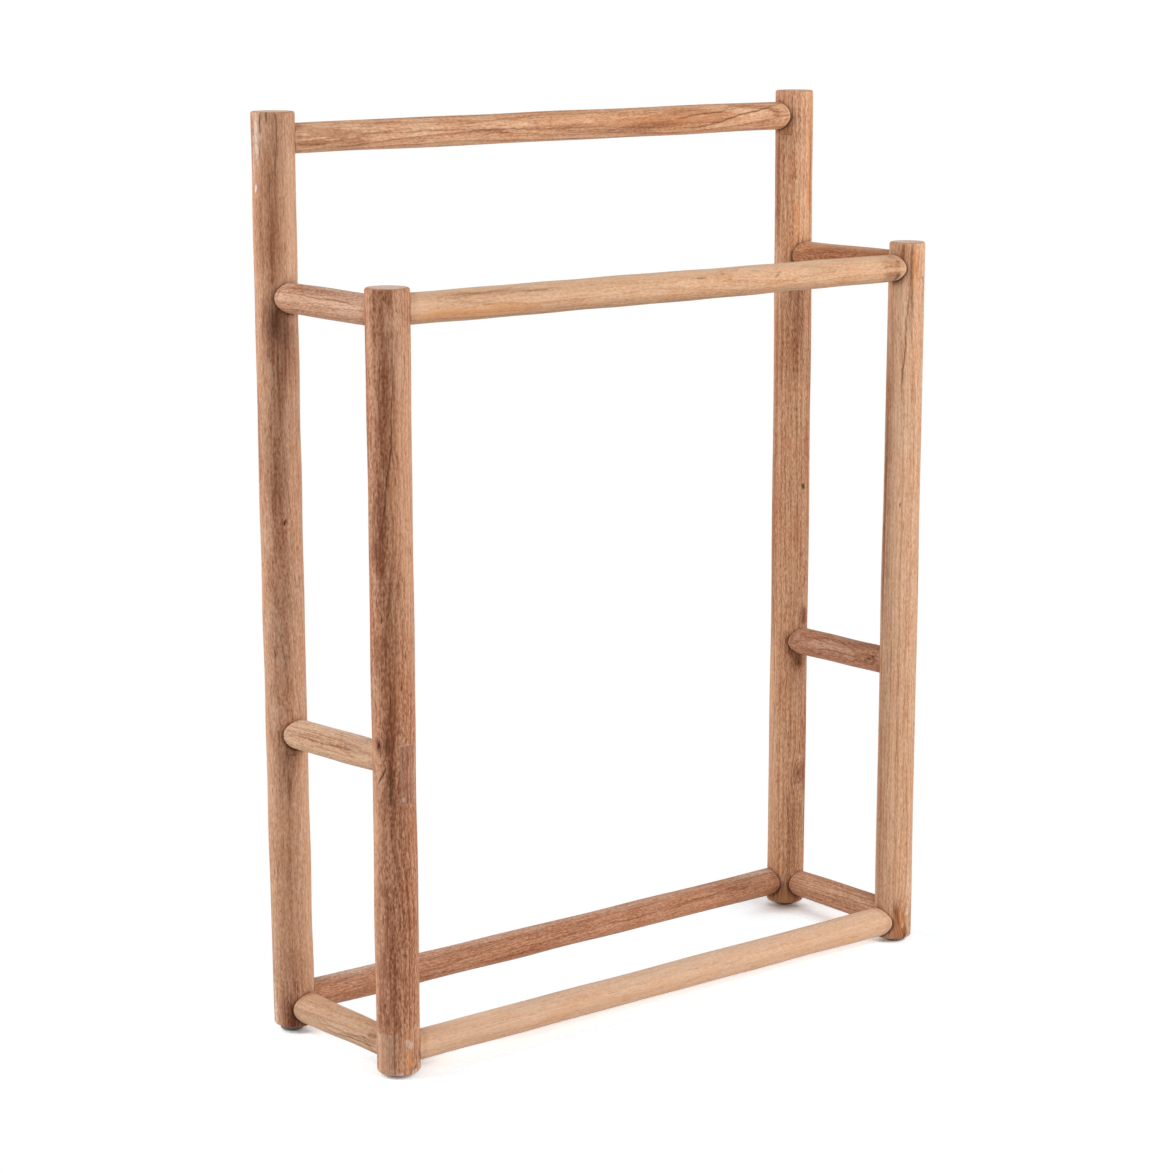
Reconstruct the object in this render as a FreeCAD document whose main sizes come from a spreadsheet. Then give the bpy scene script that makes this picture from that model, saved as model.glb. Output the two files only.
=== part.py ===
import FreeCAD, Part
import os

import Sketcher
from FreeCAD import Placement, Rotation, Vector

# Free-standing towel rack of round teak: four posts and ten rails, coped and tenoned together,
# each rail end drawn up by a screw that a wood plug or an inlaid patch hides.
# Millimetres, +Z up, -Y the front. The origin is on the floor, midway between the posts.

SIZES = {
    # The frame, from post centre to post centre and up from the floor
    "post_spacing_width": 660,
    "post_spacing_depth": 172,
    "upper_rail_height": 718,
    "rear_rail_rise": 147,
    "middle_rail_height": 301,
    "bottom_rail_lift": 12,
    "front_bottom_drop": 3,
    "rear_bottom_rise": 1.5,
    # Posts
    "post_diameter": 40.5,
    "front_post_rise": 23,
    "rear_post_rise": 25,
    "post_top_ease": 2,
    "post_foot_ease": 2.5,
    # Rails, their coped shoulders and their stub tenons
    "rail_diameter": 30,
    "shoulder_ease": 1,
    "tenon_diameter": 20,
    "tenon_end_gap": 0.4,
    "mortise_web": 1.2,
    "joint_clearance": 0.1,
    # Screws and the plugs over their heads
    "screw_diameter": 4,
    "screw_length": 50,
    "screw_point_length": 6,
    "screw_head_diameter": 7.4,
    "screw_head_height": 2.6,
    "side_screw_drop": 7,
    "side_screw_rise": 5.5,
    "plug_diameter": 8,
    "plug_length": 7,
    # Glides and their nails
    "glide_diameter": 23,
    "glide_height": 5,
    "glide_edge": 3,
    "glide_floor": 1.8,
    "nail_diameter": 2.2,
    "nail_length": 11,
    "nail_point_length": 3,
    # Patches let into the posts; a turn is measured from +X, in degrees
    "middle_patch_width": 14,
    "middle_patch_height": 56,
    "middle_patch_drop": 7,
    "middle_patch_depth": 5,
    "middle_patch_turn": -85,
    "front_foot_patch_width": 20,
    "front_foot_patch_height": 39,
    "front_foot_patch_depth": 5,
    "front_foot_patch_turn": -165,
    "rear_foot_patch_width": 18,
    "rear_foot_patch_height": 48.5,
    "rear_foot_patch_depth": 5,
    "rear_foot_patch_turn": -134,
    "collar_patch_width": 27,
    "collar_patch_height": 40,
    "collar_patch_depth": 7,
    "collar_patch_turn": 180,
    # How far a cutting shape runs past what it cuts
    "cut_overrun": 5,
}

doc = FreeCAD.newDocument("towel_rack")
nodes = []


def fill_sheet():
    """Write the driving dimensions into the sheet, one row each, with their aliases."""
    sheet = doc.addObject("Spreadsheet::Sheet", "size")
    for row, (alias, value) in enumerate(SIZES.items(), start=1):
        sheet.set(f"A{row}", alias)
        sheet.set(f"B{row}", str(value))
        sheet.setAlias(f"B{row}", alias)
    doc.recompute()


# Formulas that several pieces share, so that mating faces follow the same sizes
half_width = "(size.post_spacing_width / 2)"
half_depth = "(size.post_spacing_depth / 2)"
post_radius = "(size.post_diameter / 2)"
rail_radius = "(size.rail_diameter / 2)"
mortise_radius = "(size.tenon_diameter / 2 + size.joint_clearance)"
mortise_floor = f"({mortise_radius} + size.mortise_web)"
tenon_end = f"({mortise_floor} + size.tenon_end_gap)"
screw_hole_radius = "(size.screw_diameter / 2 + size.joint_clearance)"
plug_hole_radius = "(size.plug_diameter / 2 + size.joint_clearance)"
plug_seat = f"({post_radius} - size.plug_length)"
head_seat = f"({plug_seat} - size.screw_head_height)"
screw_reach = f"(size.screw_length - {plug_seat} + size.joint_clearance)"

upper = "size.upper_rail_height"
rear_top = f"({upper} + size.rear_rail_rise)"
middle = "size.middle_rail_height"
side_bottom = f"(size.bottom_rail_lift + {rail_radius})"
front_bottom = f"({side_bottom} - size.front_bottom_drop)"
rear_bottom = f"({side_bottom} + size.rear_bottom_rise)"

# Corners of the frame: the side of X and of Y that each post stands on, and its top
FRONT, REAR = -1, 1
LEFT, RIGHT = -1, 1
DOWN, UP = -1, 1
POSTS = {
    "front_left": (LEFT, FRONT, f"({upper} + size.front_post_rise)"),
    "front_right": (RIGHT, FRONT, f"({upper} + size.front_post_rise)"),
    "rear_left": (LEFT, REAR, f"({rear_top} + size.rear_post_rise)"),
    "rear_right": (RIGHT, REAR, f"({rear_top} + size.rear_post_rise)"),
}

# Height of each rail and of its two screws
LONG_RAILS = {
    FRONT: {"front_top": (upper, upper), "front_bottom": (front_bottom, front_bottom)},
    REAR: {"rear_top": (rear_top, rear_top), "rear_bottom": (rear_bottom, rear_bottom)},
}
SIDE_RAILS = {
    "top": (upper, f"({upper} - size.side_screw_drop)"),
    "middle": (middle, middle),
    "bottom": (side_bottom, f"({side_bottom} + size.side_screw_rise)"),
}

# Patches by post: the sheet's prefix, the level it starts from and the tenon that passes through it.
# A foot patch starts at the end of its post, the others at a level.
PATCHES = {
    "front_left": (
        ("middle_patch", f"({middle} - size.middle_patch_drop - size.middle_patch_height / 2)", None),
        ("front_foot_patch", None, None),
    ),
    "front_right": (),
    "rear_left": (("rear_foot_patch", None, "bottom"),),
    "rear_right": (("collar_patch", f"({rear_top} - size.collar_patch_height / 2)", "rear_top"),),
}

# Screws that lie under a patch and so have no plug
COVERED_SCREWS = {("front_left", "middle"), ("front_left", "front_bottom")}


def times(sign, formula):
    """Formula of a value on one side of a middle plane."""
    return f"{sign} * {formula}"


def bind(feature, formulas):
    """Tie a feature's properties to formulas of the sheet."""
    for path, formula in formulas.items():
        feature.setExpression(path, formula)


def bind_place(feature, place_x, place_y, place_z):
    """Tie a feature's place to formulas of the sheet, its turn kept."""
    bind(feature, {"Placement.Base.x": place_x, "Placement.Base.y": place_y, "Placement.Base.z": place_z})


def new_body(name):
    return doc.addObject("PartDesign::Body", name)


def new_sketch(body, name, plane, lift, turn="0"):
    """Sketch on one of the body's own planes, lifted along that plane's normal and turned about it."""
    sketch = body.newObject("Sketcher::SketchObject", name)
    support = next(face for face in body.Origin.OriginFeatures if face.Role == plane)
    sketch.AttachmentSupport = [(support, "")]
    sketch.MapMode = "FlatFace"
    bind(sketch, {"AttachmentOffset.Base.z": lift, "AttachmentOffset.Rotation.Angle": f"{turn} * 1 deg"})
    return sketch


def set_distance(sketch, kind, element, point, formula):
    """Hold a point of an element at a formula's distance from the sketch origin."""
    index = sketch.addConstraint(Sketcher.Constraint(kind, -1, 1, element, point, 0.0))
    sketch.setExpression(f"Constraints[{index}]", formula)


def set_radius(sketch, element, formula):
    index = sketch.addConstraint(Sketcher.Constraint("Radius", element, 1.0))
    sketch.setExpression(f"Constraints[{index}]", formula)


def add_circle(sketch, radius, across="0", up="0"):
    """Circle with its radius and its centre, which a sketch counts as its point 3, tied to formulas."""
    circle = sketch.addGeometry(Part.Circle(Vector(), Vector(0, 0, 1), 1.0))
    set_distance(sketch, "DistanceX", circle, 3, across)
    set_distance(sketch, "DistanceY", circle, 3, up)
    set_radius(sketch, circle, radius)


def add_polygon(sketch, corners):
    """Closed outline through corners that are given as pairs of formulas."""
    turn_step = 2 / len(corners)
    guess = [Rotation(Vector(0, 0, 1), 180 * turn_step * index).multVec(Vector(1, 0, 0))
             for index in range(len(corners))]
    lines = [sketch.addGeometry(Part.LineSegment(start, end))
             for start, end in zip(guess, guess[1:] + guess[:1])]
    for line, following in zip(lines, lines[1:] + lines[:1]):
        sketch.addConstraint(Sketcher.Constraint("Coincident", line, 2, following, 1))
    for line, (across, up) in zip(lines, corners):
        set_distance(sketch, "DistanceX", line, 1, across)
        set_distance(sketch, "DistanceY", line, 1, up)


def add_patch_block(sketch, inner, half_span, outer):
    """Block of a patch seen along its post, from its flat back out to a given distance from the axis."""
    low = times(-1, half_span)
    add_polygon(sketch, ((inner, low), (outer, low), (outer, half_span), (inner, half_span)))


def add_pad(body, name, sketch, length):
    pad = body.newObject("PartDesign::Pad", name)
    pad.Profile = sketch
    bind(pad, {"Length": length})
    return pad


def add_pocket(body, name, sketch, along_normal, length=None):
    """Cut along the sketch's normal or against it, right through where no length is given."""
    pocket = body.newObject("PartDesign::Pocket", name)
    pocket.Profile = sketch
    pocket.Reversed = along_normal
    if length is None:
        pocket.Type = "ThroughAll"
    else:
        bind(pocket, {"Length": length})
    return pocket


def add_revolution(body, name, sketch):
    """Turn a half outline about the sketch's upright axis."""
    turned = body.newObject("PartDesign::Revolution", name)
    turned.Profile = sketch
    turned.ReferenceAxis = (sketch, ["V_Axis"])
    turned.Angle = 360
    return turned


def is_round(edge):
    return not isinstance(edge.Curve, Part.Line)


def round_edges(feature):
    """All curved edges of a feature."""
    doc.recompute()
    return [edge for edge in feature.Shape.Edges if is_round(edge)]


def end_edges(feature, direction):
    """Curved edges of a feature's topmost face, or of its lowest one where the direction is down."""
    doc.recompute()
    end_face = max(feature.Shape.Faces, key=lambda face: direction * face.CenterOfMass.z)
    return [edge for edge in end_face.Edges if is_round(edge)]


def ease_edges(body, name, base, edges, radius):
    """Round some edges of a feature."""
    names = [f"Edge{index}" for index, edge in enumerate(base.Shape.Edges, start=1)
             if any(edge.isSame(wanted) for wanted in edges)]
    rounding = body.newObject("PartDesign::Fillet", name)
    rounding.Base = (base, names)
    bind(rounding, {"Radius": radius})
    return rounding


def finish_node(feature, label):
    """Name a finished piece and put it on the list to be written."""
    feature.Label = label
    nodes.append(feature)


def post_joints(side, end):
    """Rails that enter a post: their plane, the side of its normal that they come from and their heights."""
    yield "YZ_Plane", -side, LONG_RAILS[end]
    yield "XZ_Plane", end, SIDE_RAILS


def cut_mortises(body, plane, toward, heights):
    sketch = new_sketch(body, f"{body.Name}_mortises_{plane}", plane, times(toward, mortise_floor))
    for height in heights:
        add_circle(sketch, mortise_radius, up=height)
    add_pocket(body, f"{body.Name}_mortise_{plane}", sketch, toward > 0)


def cut_screw_holes(body, plane, toward, heights):
    """Bore for the screw shank from the mortise outwards, and a wider one for head and plug."""
    bores = {"shank": (times(toward, mortise_floor), screw_hole_radius),
             "plug": (times(-toward, head_seat), plug_hole_radius)}
    for bore, (lift, radius) in bores.items():
        sketch = new_sketch(body, f"{body.Name}_{bore}_bores_{plane}", plane, lift)
        for height in heights:
            add_circle(sketch, radius, up=height)
        add_pocket(body, f"{body.Name}_{bore}_bore_{plane}", sketch, toward < 0)


def patch_span(prefix, level):
    """Lower and upper level of a patch."""
    start = level or "size.glide_height"
    return start, f"({start} + size.{prefix}_height)"


def cut_patch_pocket(body, prefix, level):
    """Pocket for a patch, wider than it by the joint clearance and open at the foot of the post."""
    start, stop = patch_span(prefix, level)
    slack = "size.joint_clearance" if level else "size.cut_overrun"
    lift = f"({start} - {slack})"
    sketch = new_sketch(body, f"{body.Name}_{prefix}_outline", "XY_Plane", lift, f"size.{prefix}_turn")
    add_patch_block(
        sketch,
        f"({post_radius} - size.{prefix}_depth - size.joint_clearance)",
        f"(size.{prefix}_width / 2 + size.joint_clearance)",
        f"({post_radius} + size.cut_overrun)",
    )
    add_pocket(body, f"{body.Name}_{prefix}_pocket", sketch, True, f"{stop} + size.joint_clearance - {lift}")


def stand(body, side, end):
    """Put a body that is drawn about a post's axis at its corner of the frame."""
    bind_place(body, times(side, half_width), times(end, half_depth), "0")


def make_post(corner):
    """Round post with eased ends, blind mortises, screw and plug bores, patch pockets and a nail hole."""
    side, end, top = POSTS[corner]
    body = new_body(f"{corner}_post")
    sketch = new_sketch(body, f"{corner}_section", "XY_Plane", "size.glide_height")
    add_circle(sketch, post_radius)
    pad = add_pad(body, f"{corner}_round", sketch, f"{top} - size.glide_height")
    eased = ease_edges(body, f"{corner}_top_ease", pad, end_edges(pad, UP), "size.post_top_ease")
    ease_edges(body, f"{corner}_foot_ease", eased, end_edges(eased, DOWN), "size.post_foot_ease")
    for plane, toward, rails in post_joints(side, end):
        cut_mortises(body, plane, toward, [rail for rail, screw in rails.values()])
        cut_screw_holes(body, plane, toward, [screw for rail, screw in rails.values()])
    for prefix, level, pierced_by in PATCHES[corner]:
        cut_patch_pocket(body, prefix, level)
    hole = new_sketch(body, f"{corner}_nail_hole_section", "XY_Plane", "size.glide_height")
    add_circle(hole, "size.nail_diameter / 2 + size.joint_clearance")
    add_pocket(body, f"{corner}_nail_hole", hole, True, "size.nail_length + size.joint_clearance")
    stand(body, side, end)
    finish_node(body, f"post_{corner}")


def make_patches(corner):
    """Patches of one post, flush with its round face and bored where a rail's tenon passes."""
    side, end, top = POSTS[corner]
    for prefix, level, pierced_by in PATCHES[corner]:
        body = new_body(f"{corner}_{prefix}")
        start, stop = patch_span(prefix, level)
        sketch = new_sketch(body, f"{corner}_{prefix}_section", "XY_Plane", start, f"size.{prefix}_turn")
        inner = f"({post_radius} - size.{prefix}_depth)"
        add_patch_block(sketch, inner, f"(size.{prefix}_width / 2)", post_radius)
        add_pad(body, f"{corner}_{prefix}_block", sketch, f"size.{prefix}_height")
        ring = new_sketch(body, f"{corner}_{prefix}_ring", "XY_Plane", start)
        add_circle(ring, post_radius)
        add_circle(ring, "size.post_diameter")
        flush = add_pocket(body, f"{corner}_{prefix}_flush", ring, True)
        if level is None:
            ease_edges(body, f"{corner}_{prefix}_ease", flush, end_edges(flush, DOWN), "size.post_foot_ease")
        for plane, toward, rails in post_joints(side, end):
            if pierced_by in rails:
                cut_mortises(body, plane, toward, [rails[pierced_by][0]])
        stand(body, side, end)
        finish_node(body, f"{prefix}_{corner}")


def make_rail(label, span, rail, screw, place_x, place_y, turn):
    """Round rail with coped shoulders, a stub tenon at each end and a pilot hole for each screw."""
    body = new_body(label)
    half_span = f"({span} / 2)"
    sketch = new_sketch(body, f"{label}_section", "YZ_Plane", times(-1, half_span))
    add_circle(sketch, rail_radius)
    add_pad(body, f"{label}_round", sketch, span)
    copes = new_sketch(body, f"{label}_cope_section", "XY_Plane", f"{rail_radius} + size.cut_overrun")
    for end in (-1, 1):
        add_circle(copes, f"({post_radius} + size.joint_clearance)", across=times(end, half_span))
    coped = add_pocket(body, f"{label}_copes", copes, False)
    ease_edges(body, f"{label}_shoulder_ease", coped, round_edges(coped), "size.shoulder_ease")
    tenon = new_sketch(body, f"{label}_tenon_section", "YZ_Plane", f"{tenon_end} - {half_span}")
    add_circle(tenon, "size.tenon_diameter / 2")
    add_pad(body, f"{label}_tenons", tenon, f"{span} - 2 * {tenon_end}")
    for end in (-1, 1):
        lift = times(end, f"({half_span} - {screw_reach})")
        pilot = new_sketch(body, f"{label}_pilot_section_{end + 1}", "YZ_Plane", lift)
        add_circle(pilot, screw_hole_radius, up=f"{screw} - {rail}")
        add_pocket(body, f"{label}_pilot_{end + 1}", pilot, end > 0)
    body.Placement = Placement(Vector(), Rotation(Vector(0, 0, 1), turn))
    bind_place(body, place_x, place_y, rail)
    finish_node(body, label)


def make_rails():
    """Four rails along the width and, on each side, three across the depth."""
    for end, rails in LONG_RAILS.items():
        for name, (rail, screw) in rails.items():
            make_rail(f"rail_{name}", "size.post_spacing_width", rail, screw, "0", times(end, half_depth), 0)
    for side, side_name in ((LEFT, "left"), (RIGHT, "right")):
        for name, (rail, screw) in SIDE_RAILS.items():
            label = f"rail_{side_name}_{name}"
            make_rail(label, "size.post_spacing_depth", rail, screw, times(side, half_width), "0", 90)


def screw_lines(corner):
    """Screws of one post: the rail's name, the way the screw points and its height."""
    side, end, top = POSTS[corner]
    for name, (rail, screw) in LONG_RAILS[end].items():
        yield name, Vector(-side, 0, 0), screw
    for name, (rail, screw) in SIDE_RAILS.items():
        yield name, Vector(0, -end, 0), screw


def point_along(feature, corner, line, offset, height):
    """Turn a feature's +Z along a screw line and set it off from the post axis along that line."""
    side, end, top = POSTS[corner]
    feature.Placement = Placement(Vector(), Rotation(Vector(0, 0, 1), line))
    place_x = f"{times(side, half_width)} + {int(line.x)} * {offset}"
    place_y = f"{times(end, half_depth)} + {int(line.y)} * {offset}"
    bind_place(feature, place_x, place_y, height)


def make_turned(name, corners):
    """Body turned about its own Z from a half outline."""
    body = new_body(name)
    sketch = new_sketch(body, f"{name}_outline", "XZ_Plane", "0")
    add_polygon(sketch, corners)
    add_revolution(body, f"{name}_turned", sketch)
    return body


def make_screw():
    """Screw with a flat-seated head, plain shank and point; its head faces -Z and starts at the origin."""
    shank = "size.screw_diameter / 2"
    head = "size.screw_head_diameter / 2"
    return make_turned("joint_screw", (
        ("0", "0"),
        (head, "0"),
        (head, "size.screw_head_height"),
        (shank, "size.screw_head_height"),
        (shank, "size.screw_length - size.screw_point_length"),
        ("0", "size.screw_length"),
    ))


def make_nail():
    """Headless nail of a glide, with its point up and its lower end at the origin."""
    shank = "size.nail_diameter / 2"
    length = "size.glide_height - size.glide_floor + size.nail_length"
    return make_turned("glide_nail", (
        ("0", "0"),
        (shank, "0"),
        (shank, f"{length} - size.nail_point_length"),
        ("0", length),
    ))


def add_link(name, source):
    link = doc.addObject("App::Link", name)
    link.LinkedObject = source
    return link


def group(label, pieces):
    """One node that holds several separate like pieces."""
    compound = doc.addObject("Part::Compound", f"{label}_group")
    compound.Links = pieces
    finish_node(compound, label)


def make_screws(screw):
    """Five screws to a post, each in line with the rail that it holds."""
    for corner in POSTS:
        screws = []
        for name, line, height in screw_lines(corner):
            link = add_link(f"{corner}_{name}_screw", screw)
            point_along(link, corner, line, times(-1, plug_seat), height)
            screws.append(link)
        group(f"screws_{corner}", screws)


def make_plugs():
    """Wood plugs over the screw heads, cut flush with the round face of the post."""
    for corner, (side, end, top) in POSTS.items():
        blank = doc.addObject("Part::Cylinder", f"{corner}_blank")
        bind(blank, {"Radius": post_radius, "Height": top})
        stand(blank, side, end)
        plugs = []
        for name, line, height in screw_lines(corner):
            if (corner, name) in COVERED_SCREWS:
                continue
            dowel = doc.addObject("Part::Cylinder", f"{corner}_{name}_dowel")
            bind(dowel, {"Radius": "size.plug_diameter / 2", "Height": "size.plug_length + size.cut_overrun"})
            point_along(dowel, corner, -line, plug_seat, height)
            plug = doc.addObject("Part::Common", f"{corner}_{name}_plug")
            plug.Base = dowel
            plug.Tool = blank
            plugs.append(plug)
        group(f"plugs_{corner}", plugs)


def make_glides(nail):
    """Round glide under each post, its lower edge rounded, on a nail driven up into the end grain."""
    nails = []
    for corner, (side, end, top) in POSTS.items():
        body = new_body(f"{corner}_glide")
        sketch = new_sketch(body, f"{corner}_glide_section", "XY_Plane", "0")
        add_circle(sketch, "size.glide_diameter / 2")
        pad = add_pad(body, f"{corner}_glide_round", sketch, "size.glide_height")
        ease_edges(body, f"{corner}_glide_ease", pad, end_edges(pad, DOWN), "size.glide_edge")
        socket = new_sketch(body, f"{corner}_glide_socket_section", "XY_Plane", "size.glide_floor")
        add_circle(socket, "size.nail_diameter / 2 + size.joint_clearance")
        add_pocket(body, f"{corner}_glide_socket", socket, True)
        stand(body, side, end)
        finish_node(body, f"glide_{corner}")
        link = add_link(f"{corner}_nail", nail)
        bind_place(link, times(side, half_width), times(end, half_depth), "size.glide_floor")
        nails.append(link)
    group("glide_nails", nails)


def check_document():
    """Stop where a feature failed, a pocket cut nothing or a finished piece is not sound."""
    for feature in doc.Objects:
        if "Invalid" in feature.State or "Error" in feature.State:
            raise RuntimeError(f"{feature.Name} failed: {feature.State}")
        if feature.TypeId == "PartDesign::Pocket":
            if not feature.Shape.Volume < feature.BaseFeature.Shape.Volume:
                raise RuntimeError(f"{feature.Name} cuts nothing")
    for node in nodes:
        if node.Shape.isNull() or not node.Shape.isValid():
            raise RuntimeError(f"{node.Label} is not a sound solid")


def write_parts():
    os.makedirs("parts", exist_ok=True)
    for node in nodes:
        node.Shape.exportStep(os.path.join("parts", f"{node.Label}.step"))


def main():
    fill_sheet()
    for corner in POSTS:
        make_post(corner)
        make_patches(corner)
    make_rails()
    make_screws(make_screw())
    make_plugs()
    make_glides(make_nail())
    doc.recompute()
    check_document()
    write_parts()


main()
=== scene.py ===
from collections import namedtuple

import bpy
import numpy as np
from bpy.props import FloatProperty, FloatVectorProperty, PointerProperty
from mathutils import Euler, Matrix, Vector


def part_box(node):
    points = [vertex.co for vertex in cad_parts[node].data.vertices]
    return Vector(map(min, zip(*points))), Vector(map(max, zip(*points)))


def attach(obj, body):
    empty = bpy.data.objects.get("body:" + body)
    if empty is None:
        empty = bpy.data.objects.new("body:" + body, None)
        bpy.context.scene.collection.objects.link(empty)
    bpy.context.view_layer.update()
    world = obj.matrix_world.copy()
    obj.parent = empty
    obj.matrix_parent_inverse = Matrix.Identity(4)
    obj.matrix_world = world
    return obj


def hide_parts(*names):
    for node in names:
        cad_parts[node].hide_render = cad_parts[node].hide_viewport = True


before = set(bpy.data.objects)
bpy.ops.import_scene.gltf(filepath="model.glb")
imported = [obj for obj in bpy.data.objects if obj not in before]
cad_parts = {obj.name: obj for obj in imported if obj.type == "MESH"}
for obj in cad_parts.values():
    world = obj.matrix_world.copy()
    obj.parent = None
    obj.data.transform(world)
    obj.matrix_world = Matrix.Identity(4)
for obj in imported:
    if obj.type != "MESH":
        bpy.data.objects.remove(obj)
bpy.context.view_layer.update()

# Looks of the free-standing teak towel rack: hand-shaped round posts and rails, inlaid patches and
# wood plugs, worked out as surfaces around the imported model. Metres, +Z up, -Y the front.

bl_info = {
    "name": "Teak Towel Rack",
    "version": (1, 0, 0),
    "blender": (4, 5, 0),
    "location": "View3D > Sidebar > Rack",
    "description": "Builds the hand-shaped teak towel rack around its packed frame",
    "category": "Object",
}

# Kinds of thing that the tables below list. A turn is in degrees: on a post from the front, -Y,
# towards +X, and on a rail from its near side upwards, which is -Y on a long rail and -X on a side
# rail. A level is a place along the piece: the height on a post, X on a long rail and Y on a side
# rail. A mark's slant is its run across the grain over its run along it, and its depth is how far
# it sinks the surface.
# A post's ends are the distances of its foot and top from the drawn ones. Its shifts and girths are
# its places to the camera's right and its diameters, at the foot, the middle and the top. A rail's
# rises and girths go from its first end to its last, and its asides are how far its two ends
# lie to the near side of the posts' middles. A patch's putty and crack are strengths at its rims:
# left, right, lower and upper.
Log = namedtuple("Log", "face pith lean rings seed coarse fine", defaults=(1.0, 1.0))
Swell = namedtuple("Swell", "level length rise")
Knot = namedtuple("Knot", "turn level size rise")
Mark = namedtuple("Mark", "kind turn level width length strength slant depth", defaults=(0.0, 0.0))
Post = namedtuple("Post", "tone tint ends bleach shifts girths log swells knots marks")
Rail = namedtuple(
    "Rail", "tone tint ends rises girths log swells knots marks asides", defaults=((0.0, 0.0),))
Patch = namedtuple(
    "Patch", "post turn width tone tint log marks putty crack swells knots", defaults=((), ()))

# Besides stains, wear and checks, the dark and hollow marks also paint shade around the rails' ends, and
# the pale and chalk marks also paint highlight on the tops of rails and posts.
MARK_KINDS = ("dark", "pale", "hollow", "amber", "chalk")
DARK, PALE, HOLLOW, AMBER, CHALK = range(len(MARK_KINDS))


def spots(**kinds):
    """Marks listed by kind: turn, level, width, length and strength, with any slant and depth."""
    return tuple(
        Mark(MARK_KINDS.index(kind), *place) for kind, places in kinds.items() for place in places)


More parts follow.
